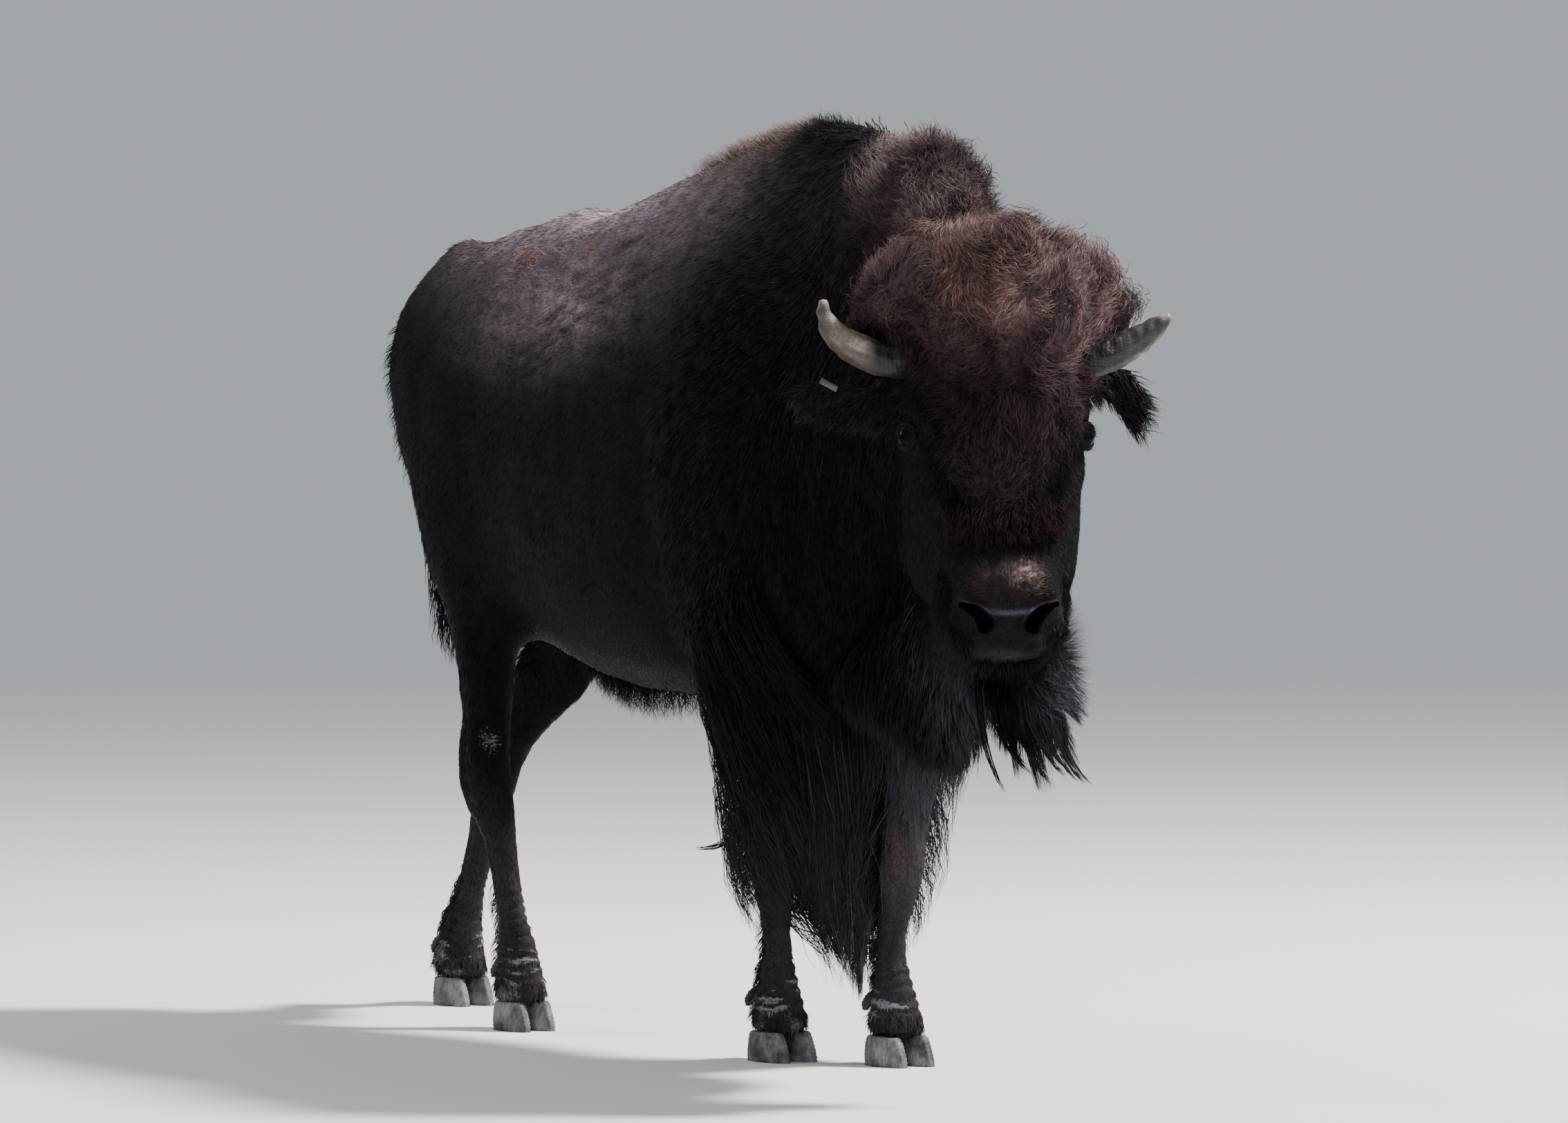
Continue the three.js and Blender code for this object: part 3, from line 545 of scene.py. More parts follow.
def build_skin():
    mesh = remeshed(FLESH + ["eye_right", "eye_left"], 0.0014, 0.0122)
    co = coordinates(mesh)
    ears = on_ears(co)
    x, y, z = in_body(co)
    ahead = forward(co)
    trunk = step(0.62, 0.74, z) * step(-0.17, -0.24, ahead) * step(0.74, 0.69, y)
    relax(mesh, 60, trunk)
    soften(mesh, 10, 1 - 0.8 * ears)
    relax(mesh, 5, step(-0.2, -0.1, ahead) * (1 - ears) * 0.7)
    co = coordinates(mesh)
    place(mesh, co - normals(mesh) * coat_depth(co)[:, None])

    def face(p):
        _, s, n = in_head(p)
        return (forward(p) > -0.08) & (np.abs(s) < 0.22) & (n < 0.055) & (n > -0.26)

    def legs(p):
        x, y, z = in_body(p)
        elbow = np.all(np.abs(np.stack([np.abs(x), y, z], 1) - ELBOW) < [0.06, 0.12, 0.11], axis=1)
        return (z < 0.17) | ((z < 0.36) & (y > 0.2)) | elbow

    def muzzle(p):
        a, s, n = in_head(p)
        return (a > 0.318) & (np.abs(s) < 0.10) & (n < 0.03) & (n > -0.13)

    def nostrils(p):
        return (np.maximum(nostril(p, -1)[0], nostril(p, 1)[0]) > -0.9) & (in_head(p)[0] > 0.31)

    def lid_rims(p):
        return np.maximum(*[np.where(around_eye(p, k)[0] < 0.036, lid_edge(p, k), -1) for k in EYES]) > 0

    refine(mesh, lambda p: face(p) | legs(p) | (from_eyes(p) < 0.05) | (on_ears(p) > 0.5))
    soften(mesh, 3)
    refine(mesh, lambda p: muzzle(p) | (from_eyes(p) < 0.045))
    refine(mesh, lambda p: (from_eyes(p) < 0.038) | nostrils(p))
    soften(mesh, 2)
    refine(mesh, lid_rims)
    co = coordinates(mesh)
    no = normals(mesh)
    for side, (lo, hi) in EAR_BOX.items():
        share = ear_share(co, side)
        mid = np.exp(-(((co - (lo + hi) / 2) / ((hi - lo) * 0.30)) ** 2)[:, [0, 2]].sum(1))
        co -= no * (share * (EAR_GROWTH + 0.0012 + 0.005 * mid * step(0.1, 0.6, no @ AHEAD)))[:, None]
    co += no * sculpt(co)[:, None]
    for side in EYES:
        inside, over, a = nostril(co, side)
        depth = step(-0.10, 0.40, inside) * (a > 0.30)
        rim = bell((inside + 0.35) / 0.25) * (a > 0.30)
        inward = unit(-AHEAD * 0.9 + UP * 0.30 + LEFT * side * 0.15)
        co += depth[:, None] * 0.030 * inward
        co += (rim * step(0.0, 0.8, over))[:, None] * 0.0060 * unit(AHEAD - UP * 0.35)
        co += (rim * step(0.0, -0.8, over))[:, None] * 0.0016 * AHEAD
    place(mesh, eyelids(co))
    return mesh


# ---------------- materials
def material(name, roughness, build, sheen=0.0, specular=0.5, coat=0.0, metal=0.0):
    m = bpy.data.materials.new(name)
    m.use_nodes = True
    tree = m.node_tree
    shader = tree.nodes["Principled BSDF"]
    for socket, value in (("Roughness", roughness), ("Sheen Weight", sheen), ("Sheen Roughness", 0.4),
                          ("Specular IOR Level", specular), ("Coat Weight", coat), ("Coat Roughness", 0.04),
                          ("Metallic", metal)):
        shader.inputs[socket].default_value = value
    build(tree, shader)
    return m


def node(tree, kind, **settings):
    n = tree.nodes.new(kind)
    for key, value in settings.items():
        if key in n.inputs:
            n.inputs[key].default_value = value
        else:
            setattr(n, key, value)
    return n


def noise(tree, scale, detail=4, stretch=(1, 1, 1)):
    coords = node(tree, "ShaderNodeTexCoord")
    mapping = node(tree, "ShaderNodeMapping", Scale=stretch)
    texture = node(tree, "ShaderNodeTexNoise", Scale=scale, Detail=detail)
    tree.links.new(coords.outputs["Object"], mapping.inputs["Vector"])
    tree.links.new(mapping.outputs["Vector"], texture.inputs["Vector"])
    return texture.outputs["Fac"]


def ramp(tree, source, *stops):
    r = node(tree, "ShaderNodeValToRGB")
    while len(r.color_ramp.elements) < len(stops):
        r.color_ramp.elements.new(0.5)
    for element, (at, value) in zip(r.color_ramp.elements, stops):
        element.position = at
        element.color = (*value, 1) if isinstance(value, tuple) else (value, value, value, 1)
    tree.links.new(source, r.inputs["Fac"])
    return r.outputs["Color"]


def mixed(tree, one, two, kind="MULTIPLY", amount=1.0):
    m = node(tree, "ShaderNodeMix", data_type="RGBA", blend_type=kind)
    if isinstance(amount, float):
        m.inputs[0].default_value = amount
    else:
        tree.links.new(amount, m.inputs[0])
    for socket, value in ((6, one), (7, two)):
        if isinstance(value, tuple):
            m.inputs[socket].default_value = (*value, 1)
        else:
            tree.links.new(value, m.inputs[socket])
    return m.outputs[2]


def bump(tree, shader, source, distance, after=None):
    b = node(tree, "ShaderNodeBump", Strength=0.8, Distance=distance)
    tree.links.new(source, b.inputs["Height"])
    if after:
        tree.links.new(after, b.inputs["Normal"])
    tree.links.new(b.outputs["Normal"], shader.inputs["Normal"])
    return b.outputs["Normal"]


def grained(tree, *grains, coat=None):
    """The painted colour, darkened and lightened by each grain in turn."""
    tint = (coat or painted(tree)).outputs["Color"]
    for grain, low, high in grains:
        tint = mixed(tree, tint, ramp(tree, grain, low, high))
    return tint


def painted(tree):
    return node(tree, "ShaderNodeAttribute", attribute_name="coat")


def tinted(tree, shader, tint):
    tree.links.new(tint, shader.inputs["Base Color"])


def skin_look(tree, shader):
    coat = painted(tree)
    grain = noise(tree, 60, 5, (7, 1.6, 3.2))
    tint = grained(tree, (grain, (0.3, 0.62), (0.72, 1.5)), (noise(tree, 9), (0.3, 0.8), (0.7, 1.2)),
                   coat=coat)
    flakes = node(tree, "ShaderNodeMath", operation="MULTIPLY")
    tree.links.new(coat.outputs["Alpha"], flakes.inputs[0])
    tree.links.new(noise(tree, 130, 5, (1, 1, 2.2)), flakes.inputs[1])
    # dried mud, and on the feet painted sheen, in flakes over the skin
    crust_and_sheen = ramp(tree, flakes.outputs[0], (0.25, 0.0), (0.40, 0.60))
    tinted(tree, shader, mixed(tree, tint, MUD_AND_SHEEN, "MIX", crust_and_sheen))
    first = bump(tree, shader, grain, 0.0016)
    bump(tree, shader, noise(tree, 420, 3), 0.0005, first)


def hair_look(tree, shader):
    tinted(tree, shader, grained(tree, (noise(tree, 90), (0.3, 0.74), (0.7, 1.3))))
    bump(tree, shader, noise(tree, 700, 2), 0.0003)


def felt_look(tree, shader):
    grain = noise(tree, 130, 6)
    tinted(tree, shader, grained(tree, (grain, (0.32, 0.45), (0.68, 1.5))))
    bump(tree, shader, grain, 0.0060)


def horn_look(tree, shader):
    grain = noise(tree, 120, 5, (1, 4, 4))
    tinted(tree, shader, grained(tree, (grain, (0.28, 0.5), (0.7, 1.3)),
                                 (noise(tree, 26, 5), (0.36, 0.62), (0.62, 1.2))))
    first = bump(tree, shader, grain, 0.0010)
    bump(tree, shader, noise(tree, 45, 6), 0.0018, first)


def hoof_look(tree, shader):
    grain = noise(tree, 60, 6, (4, 4, 1))
    tinted(tree, shader, grained(tree, (noise(tree, 24, 5), (0.36, 0.35), (0.60, 1.4)),
                                 (grain, (0.3, 0.6), (0.7, 1.25))))
    bump(tree, shader, grain, 0.0016)


def eye_look(tree, shader):
    tinted(tree, shader, grained(tree, (noise(tree, 320), (0.3, 0.75), (0.7, 1.25))))


def tag_look(tree, shader):
    scuff = noise(tree, 300, 5, (1, 6, 6))
    tinted(tree, shader, ramp(tree, scuff, (0.35, (0.065, 0.058, 0.047)), (0.65, (0.23, 0.21, 0.17))))
    bump(tree, shader, scuff, 0.0003)


SKIN = material("skin", 0.62, skin_look, sheen=0.003, specular=0.015)
COAT = material("short_coat", 0.46, hair_look, sheen=0.004, specular=0.05)
WOOL = material("wool", 0.72, hair_look, sheen=0.02, specular=0.02)
FELT = material("felt", 0.90, felt_look, specular=0.02)
LOCKS = material("long_hair", 0.42, hair_look, sheen=0.004, specular=0.08)
HORN = material("horn", 0.48, horn_look, specular=0.40)
HOOF = material("hoof", 0.72, hoof_look, specular=0.30)
EYE = material("eye", 0.12, eye_look, specular=0.02, coat=0.045)
TAG = material("tag_metal", 0.34, tag_look, metal=1.0)


def paint(mesh, colour, alpha=1.0):
    attribute = mesh.attributes.get("coat") or mesh.attributes.new("coat", "FLOAT_COLOR", "POINT")
    rgba = np.empty((len(colour), 4), np.float32)
    rgba[:, :3] = colour
    rgba[:, 3] = alpha
    attribute.data.foreach_set("color", rgba.ravel())


# ---------------- what hair grows from
class Ground:
    """A surface: random points on it, and the nearest point of it."""

    def __init__(self, mesh):
        self.co, self.no, self.tri = coordinates(mesh), normals(mesh), corners(mesh)
        one, two, three = (self.co[self.tri[:, k]] for k in range(3))
        self.area = np.linalg.norm(np.cross(two - one, three - one), axis=1) / 2
        self.centre = (one + two + three) / 3
        self.tree = BVHTree.FromPolygons(self.co.tolist(), self.tri.tolist())

    def sample(self, count, density):
        weight = self.area * np.clip(density(self.centre), 0, None)
        chosen = RNG.choice(len(weight), int(count * SHARE), p=weight / weight.sum())
        u, v = RNG.random((2, len(chosen)))
        flip = u + v > 1
        u, v = np.where(flip, 1 - u, u), np.where(flip, 1 - v, v)
        w = np.stack([1 - u - v, u, v], 1)[:, :, None]
        corner = self.tri[chosen]
        return (self.co[corner] * w).sum(1), unit((self.no[corner] * w).sum(1))

    def nearest(self, p):
        found = [self.tree.find_nearest(v) for v in p]
        return (np.array([f[0] for f in found]), np.array([f[1] for f in found]),
                np.array([f[3] for f in found]))


class Unwrap:
    """A light unwrap of the skin's own shape, read at the nearest point."""

    def __init__(self, mesh, faces=5000):
        obj = linked("proxy", mesh.copy())
        obj.modifiers.new("less", "DECIMATE").ratio = faces / len(corners(mesh))
        light = applied(obj)
        flat = linked("flat", light)
        bpy.context.view_layer.objects.active = flat
        flat.select_set(True)
        bpy.ops.object.mode_set(mode="EDIT")
        bpy.ops.mesh.select_all(action="SELECT")
        bpy.ops.mesh.quads_convert_to_tris()
        bpy.ops.uv.smart_project(angle_limit=math.radians(60), island_margin=0.006)
        bpy.ops.object.mode_set(mode="OBJECT")
        count = len(light.polygons)
        vertex = read(light.loops, "vertex_index", 1, np.int32)[:, 0]
        self.uv = read(light.uv_layers.active.data, "uv", 2).reshape(count, 3, 2)
        self.co = coordinates(light)[vertex].reshape(count, 3, 3)
        self.tree = BVHTree.FromPolygons(self.co.reshape(-1, 3).tolist(),
                                         np.arange(count * 3).reshape(-1, 3).tolist())
        bpy.data.objects.remove(flat)

    def place(self, p):
        found = [self.tree.find_nearest(v) for v in p]
        at, face = np.array([f[0] for f in found]), np.array([f[2] for f in found])
        one, two, three = self.co[face].transpose(1, 0, 2)
        v0, v1, v2 = two - one, three - one, at - one
        d00, d01, d11 = (v0 * v0).sum(1), (v0 * v1).sum(1), (v1 * v1).sum(1)
        d20, d21 = (v2 * v0).sum(1), (v2 * v1).sum(1)
        det = d00 * d11 - d01 * d01 + 1e-18
        v, w = (d11 * d20 - d01 * d21) / det, (d00 * d21 - d01 * d20) / det
        bary = np.clip(np.stack([1 - v - w, v, w], 1), 0, 1)
        bary /= bary.sum(1, keepdims=True)
        return (self.uv[face] * bary[:, :, None]).sum(1)


# ---------------- tufts
PIECE_FACES = 198000                   # a longer list of tufts is split into pieces
STRIP = (0.0012, 0.003)                # half the width and the whole length of a tuft's place in the unwrap


def spread(value, n):
    return np.broadcast_to(value, n).astype(float)


def bent(root, lean, end, length, rings):
    """Paths that leave along lean and bend over toward end."""
    t = np.linspace(0, 1, rings + 1)[None, :, None]
    lean, end = unit(lean), unit(end)
    line = lean[:, None] * (t - 0.5 * t * t) + end[:, None] * 0.5 * t * t
    size = spread(length, len(root)) * RNG.uniform(0.7, 1.15, len(root)) / np.maximum(
        np.linalg.norm(line[:, -1], axis=1), 0.6)
    return root[:, None] + line * size[:, None, None]


def hung(root, tip, way, rings, slack=0.5):
    """Paths from root to tip that first leave along way."""
    t = np.linspace(0, 1, rings + 1)[None, :, None]
    bend = root + unit(way) * (np.linalg.norm(tip - root, axis=1) * slack)[:, None]
    return root[:, None] * (1 - t) ** 2 + bend[:, None] * 2 * t * (1 - t) + tip[:, None] * t * t


def curled(path, amount, turns):
    n = len(path)
    t = np.linspace(0, 1, path.shape[1])[None, :, None]
    axis = unit(path[:, -1] - path[:, 0])
    one = unit(np.cross(axis, RNG.normal(size=(n, 3))))
    two = np.cross(axis, one)
    phase = RNG.uniform(0, 6.28, (n, 1, 1))
    spin = phase + t * 2 * math.pi * spread(turns, n)[:, None, None] * RNG.uniform(0.6, 1.4, (n, 1, 1))
    swing = spread(amount, n)[:, None, None] * t ** 0.8 * RNG.uniform(0.5, 1.3, (n, 1, 1))
    return path + swing * (one[:, None] * (np.cos(spin) - np.cos(phase))
                           + two[:, None] * (np.sin(spin) - np.sin(phase)))


def clumped(path, strength, size, share=0.09, by_tip=False):
    """Draws neighbouring tufts together toward their tips."""
    n = len(path)
    key = path[:, -1] if by_tip else path[:, 0]
    centres = RNG.choice(n, max(int(n * share), 1), replace=False)
    tree = KDTree(len(centres))
    for i, c in enumerate(centres):
        tree.insert(key[c], i)
    tree.balance()
    nearest = centres[[tree.find(v)[1] for v in key]]
    away = np.linalg.norm(key - key[nearest], axis=1)
    pull = strength * bell(away / size)
    t = np.linspace(0, 1, path.shape[1])[None, :, None]
    return path + (path[nearest] - path) * (pull[:, None, None] * t ** 1.3)


def tufts(name, path, width, look, slot, shade=(0.7, 1.2), seen_at=1.0, flat=0.6, tint=None, taper=0.72,
          warm=0.0):
    """Closed three-sided tufts along the paths; their colour is the coat's at seen_at of the way."""
    n, rings = len(path), path.shape[1] - 1
    along = unit(np.diff(path, axis=1))
    along = np.concatenate([along[:, :1], unit(along[:, :-1] + along[:, 1:])], 1)
    side = unit(np.cross(along, RNG.normal(size=(n, 1, 3))))
    over = np.cross(along, side)
    slim = 1 - taper * np.linspace(0, 1, rings + 1)[:rings] ** 1.3
    radius = (spread(width, n) * RNG.uniform(0.7, 1.3, n))[:, None] * slim[None]
    ring = [path[:, :rings] + side * (radius * math.cos(2 * math.pi * k / 3))[..., None]
            + over * (radius * flat * math.sin(2 * math.pi * k / 3))[..., None] for k in range(3)]
    points = np.concatenate([np.stack(ring, 2).reshape(n, rings * 3, 3), path[:, -1:]], 1)
    faces = [(0, 2, 1)]
    for r in range(rings - 1):
        for k in range(3):
            i, j = r * 3 + k, r * 3 + (k + 1) % 3
            faces += [(i, j, j + 3), (i, j + 3, i + 3)]
    last = (rings - 1) * 3
    faces += [(last + k, last + (k + 1) % 3, rings * 3) for k in range(3)]
    per = rings * 3 + 1
    face = (np.array(faces)[None] + (np.arange(n) * per)[:, None, None]).reshape(-1, 3)
    root, tip = path[:, 0], path[:, -1]
    at = root + (tip - root) * seen_at
    base = coat_colour(at) if tint is None else np.broadcast_to(np.array(tint, float), (n, 3))
    # dried mud, and on the feet painted sheen, taken from the skin at the tuft
    mud_and_sheen_amount = np.clip((1.7 * mud_and_sheen(at) - 0.75) * RNG.uniform(0.55, 1.15, n), 0, 1)[:, None]
    lit = RNG.uniform(0.72, 1.35, (n, 1))
    warmth = 1 + (lit - 1.03) / 0.32 * [warm, 0.0, -warm]
    base = (base * (1 - mud_and_sheen_amount) + np.array(MUD_AND_SHEEN) * 0.9 * mud_and_sheen_amount) * lit * warmth
    # painted shade and light along each tuft: from shade[0] of its colour at the root, darker deep in the
    # coat, to shade[1] at the tip
    height = np.concatenate([np.repeat(np.linspace(0, 1, rings + 1)[:rings], 3), [1.0]])
    tone = shade[0] + (shade[1] - shade[0]) * height
    colour = (base[:, None] * tone[None, :, None]).reshape(-1, 3)
    across = np.concatenate([np.tile([-STRIP[0], 0.0, STRIP[0]], rings), [0.0]])
    shift = np.stack([across, (height - 0.5) * STRIP[1]], 1)
    uv = (skin_unwrap.place(root)[:, None] + shift[None]).reshape(-1, 2)
    most = PIECE_FACES // len(faces)
    for part, start in enumerate(range(0, n, most)):
        stop = min(start + most, n)
        closed_piece(f"{name}_{part + 1}", points[start:stop].reshape(-1, 3),
                     face[start * len(faces):stop * len(faces)] - start * per,
                     colour[start * per:stop * per], uv[start * per:stop * per], look)


def closed_piece(name, co, face, colour, uv, look):
    mesh = bpy.data.meshes.new(name)
    mesh.vertices.add(len(co))
    mesh.loops.add(len(face) * 3)
    mesh.polygons.add(len(face))
    mesh.vertices.foreach_set("co", np.ascontiguousarray(co, np.float32).ravel())
    mesh.loops.foreach_set("vertex_index", np.ascontiguousarray(face, np.int32).ravel())
    mesh.polygons.foreach_set("loop_start", np.arange(0, len(face) * 3, 3, dtype=np.int32))
    mesh.update(calc_edges=True)
    mesh.uv_layers.new(name="OFBake").data.foreach_set(
        "uv", np.ascontiguousarray(uv[face.ravel()], np.float32).ravel())
    paint(mesh, colour)
    return add(name, mesh, look)


def laid(d, no, lift):
    """d laid along the surface whose normal is no, then lifted off it."""
    along = unit(d - (d * no).sum(1, keepdims=True) * no)
    return unit(along + no * spread(lift, len(no))[:, None])


def sway(p, scale, seed, amount):
    return amount * np.stack([wander(p, scale, seed + k) for k in range(3)], 1)


def lie(p):
    """The way the short coat lies: off the face, back over the body, down the legs."""
    x, y, z = in_body(p)
    s = in_head(p)[1]
    flow = np.stack([0 * x, 0.85 + 0 * x, -0.45 - 0.6 * step(1.35, 0.8, z)], 1)
    front = step(-0.62, -0.86, y)[:, None]                              # neck and shoulder: down
    flow = flow * (1 - front) + np.array([0.0, 0.10, -1.0]) * front
    low = step(0.72, 0.60, z)[:, None]
    flow = flow * (1 - low) + np.array([0, 0.12, -1]) * low
    on_head = step(-0.20, -0.08, forward(p))[:, None]
    face = -UP * 0.8 - AHEAD * 0.35 + LEFT * (np.sign(s) * 0.30)[:, None]
    flow = flow * (1 - on_head) + face * on_head
    for side in EYES:
        w = ear_share(p, side)[:, None]
        flow = flow * (1 - w) + (LEFT * side - UP * 0.25) * w
    return unit(flow + sway(p, 4, 31, 0.22))


SKIN_MESH = build_skin()
at = coordinates(SKIN_MESH)
# the alpha carries the dried mud and the painted sheen of the feet
paint(SKIN_MESH, coat_colour(at), mud_and_sheen(at))
skin = add("skin", SKIN_MESH, SKIN)
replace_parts(skin, *FLESH)
skin_ground = Ground(SKIN_MESH)
skin_unwrap = Unwrap(SKIN_MESH)


# -- felted masses under the long hair
def felt(key, name, share, most, voxel=0.010, dark=0.5, lift=0.0, arch=0.0, bald=None):
    """A hair mass drawn in toward the skin, its lower end lifted and its rim sunk: the core of its tufts."""
    mesh = remeshed([name], 0.0005, voxel)
    soften(mesh, 16)
    core = mesh.copy()
    co = coordinates(core)
    inner = co + UP * ((co[:, 2].max() - co[:, 2]) * (lift + arch * skin_ground.nearest(co)[2]))[:, None]
    at, no, gap = skin_ground.nearest(inner)
    inner += (at - inner) * (np.minimum(gap * share, most) / (gap + 1e-6))[:, None]
    for sunk, depth in ((step(0.024, 0.008, gap), 0.004), (bald(co) if bald else 0 * gap, 0.024)):
        inner = inner * (1 - sunk[:, None]) + (at - no * depth) * sunk[:, None]
    place(core, inner)
    relax(core, 5, 1.0)
    # painted shade: the core takes the coat colour times dark, darker than the coat as shade deep in the hair
    # mass
    paint(core, coat_colour(co) * dark)
    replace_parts(add(f"under_{key}", core, FELT), name)
    ground = Ground(mesh)
    return ground, step(0.004, 0.016, skin_ground.nearest(ground.centre)[2])


def beside_eye(p):
    """1 on the bare brow round each eye."""
    return step(0.066, 0.048, from_eyes(p))


def knee(p):
    """1 on the front of the left knee and cannon, where the hair is short."""
    x, y, z = in_body(p)
    return step(-0.665, -0.700, y) * step(0.48, 0.40, z) * step(-0.02, 0.01, x)


MASSES = {
    "mop": felt("mop", "crown_mop", 0.50, 0.034, bald=beside_eye),
    "mane": felt("mane", "neck_mane", 0.50, 0.030),
    "throat": felt("throat", "throat_mane", 0.55, 0.060, lift=0.12),
    "beard": felt("beard", "beard", 0.84, 0.150, lift=0.42),
    **{key: felt(key, key, 0.70, 0.095, lift=0.20, arch=7.0, bald=knee)
       for key in ("pantaloon_right", "pantaloon_left")},
    "belly": felt("belly", "belly_fringe", 0.97, 0.150, dark=1.0),
    "switch": felt("switch", "tail_switch", 0.55, 0.030, 0.007, lift=0.25),
}


# -- long hair
LONGEST = 0.30


def frizz(key, count, length, flow, lift, curl, width, look, slot, clump=0.5, **more):
    """Tufts whose tips end on the outside of a hair mass."""
    ground, open_side = MASSES[key]
    tip, no = ground.sample(count, lambda c: open_side * (1 - beside_eye(c)))
    way = flow(tip, no)
    path = bent(np.zeros_like(tip), no * lift + way * 0.7, no * lift * 0.6 + way * 1.3, length(tip), 3)
    path = curled(path, *curl)
    out = RNG.normal(0, 0.003, len(tip)) + np.minimum(RNG.exponential(0.006, len(tip)), 0.022) - 0.008
    path = path + (tip + no * out[:, None] - path[:, -1])[:, None]
    tufts(key, clumped(path, clump, 0.02, by_tip=True), width, look, slot, **more)


def drape(name, key, count, density, rise, start, way, curl, width, rings=3, clump=(0.6, 0.03), stray=0.004,
          fall=None, **more):
    """Tufts that start on the skin, above and inside, and hang to the outside of a hair mass."""
    ground, open_side = MASSES[key]
    tip, no = ground.sample(count, lambda c: open_side * density(c))
    root, out, _ = skin_ground.nearest(start(tip, RNG.uniform(*rise, len(tip))))
    if fall is not None:                                        # leave out the long and the nearly level
        far = np.linalg.norm(root - tip, axis=1)
        keep = ((root - tip) @ UP >= fall * far) & (far < LONGEST)
        tip, no, root, out = tip[keep], no[keep], root[keep], out[keep]
    path = hung(root - out * 0.002, tip + no * np.minimum(RNG.exponential(stray, len(tip)), 0.02)[:, None],
                way(root, out), rings)
    tufts(name, clumped(curled(path, *curl), *clump, by_tip=True), width, LOCKS, "long_hair", **more)


def grow(name, count, density, sunk, lean, end, length, rings, width, look=COAT, slot="coat", curl=None,
         clump=None, seen_at=0.0, tint=None, ground=skin_ground, **more):
    """Tufts rooted in the skin. lean and end are how far they stand off the lie of the coat, or directions;
    these, the length and the tint may also be functions of the roots."""
    root, no = ground.sample(count, density)
    ways = [way(root, no) if callable(way) else laid(lie(root), no, way) for way in (lean, end)]
    path = bent(root - no * sunk, *ways, length(root) if callable(length) else length, rings)
    path = curled(path, *curl) if curl else path
    path = clumped(path, *clump) if clump else path
    tint = tint(root) if callable(tint) else tint
    tufts(name, path, width, look, slot, seen_at=seen_at, tint=tint, **more)


def mop_flow(p, no):
    down = step(0.24, -0.05, above_eyes(p))[:, None]
    side = ((p - EYE_MID) @ LEFT)[:, None] / 0.25
    return (-UP * 1.1 + LEFT * side * 0.5) * down + UP * 0.2 * (1 - down) + sway(p, 8, 41, 0.7)


frizz("mop", 18300, lambda p: 0.024 + 0.026 * step(-0.15, 0.15, above_eyes(p)), mop_flow, 1.0,
      (0.0055, 1.2), 0.00065, WOOL, "wool", clump=0.45, shade=(0.24, 1.5), warm=0.16)
frizz("mane", 6800, lambda p: 0.040, lambda p, no: UP * 0.25 + sway(p, 7, 44, 0.6), 1.0,
      (0.0060, 1.2), 0.0009, WOOL, "wool", shade=(0.6, 1.3))
frizz("throat", 7000, lambda p: 0.075, lambda p, no: -UP * 1.5 + sway(p, 5, 47, 0.3), 0.6,
      (0.005, 0.9), 0.0012, LOCKS, "long_hair", clump=0.6, shade=(0.7, 1.5))

# streaks of wool that run on down the bridge of the nose
grow("wool_streaks", 1100, lambda c: step(-0.08, -0.15, above_eyes(c)) * MASSES["mop"][1], 0.010,
     lambda root, no: no * 0.9 + FACE * 0.7, lambda root, no: FACE + sway(root, 9, 49, 0.5),
     lambda root: 0.028 + 0.026 * RNG.random(len(root)), 3, 0.0008, WOOL, "wool", (0.006, 1.1), (0.6, 0.02),
     tint=(0.022, 0.0140, 0.0120), ground=MASSES["mop"][0])


def above(lean):
    """Where a hanging hair begins: its reach above the tip, against the way it leans."""
    return lambda tip, reach: tip + UP * reach[:, None] - lean * reach[:, None]


def out_and_down(root, out):
    return out * 0.9 - UP * 0.5 + sway(root, 6, 51, 0.3)


for key, lean, curl in (("pantaloon_right", 0.32, 0.008), ("pantaloon_left", 0.06, 0.012)):
    drape(key, key, 5200, lambda c: 1 - 0.97 * knee(c), (0.05, 0.20), above(LEFT * lean), out_and_down,
          (curl, 1.2), 0.0011, shade=(0.6, 1.3), stray=0.006, fall=0.70)

# straight hair that hangs between the forelegs and comes to a point above the left hoof
count = int(3000 * SHARE)
height = RNG.random(count) ** 0.8
inward = (-0.170 * RNG.random(count) + 0.020) * height
tip = (body(0.030, -0.640, 0.100) + np.outer(height * 0.27, UP) + np.outer(inward, [0.857, -0.515, 0])
       + np.outer(RNG.normal(0, 0.010, count) * (0.2 + height), [0.515, 0.857, 0]))
root, out, _ = skin_ground.nearest(tip + np.outer(0.18 + 0.30 * RNG.random(count), UP) - [0.03, 0.0, 0.0])
steep = (root - tip) @ UP > 0.62 * np.linalg.norm(root - tip, axis=1)
path = hung((root - out * 0.002)[steep], tip[steep], (out * 0.2 - UP * 0.9)[steep], 3)
path = clumped(curled(path, 0.004, 0.8), 0.6, 0.03, by_tip=True)
tufts("between_forelegs", path, 0.0017, LOCKS, "long_hair", shade=(0.6, 1.2))


def jaw(tip, reach):
    """Where on the underside of the jaw a hair of the beard begins."""
    d = tip - EYE_MID
    height = np.minimum(d @ UP + reach, -0.315 - 0.06 * RNG.random(len(tip)))
    return (EYE_MID + np.outer((d @ AHEAD) * 0.75 - 0.01, AHEAD) + np.outer((d @ LEFT) * 0.5, LEFT)
            + np.outer(height, UP))


def chinward(c):
    return 0.10 + step(-0.34, -0.46, above_eyes(c))


def left_side(c):
    return step(0.0, 0.10, (c - EYE_MID) @ LEFT) * step(-0.52, -0.40, above_eyes(c))


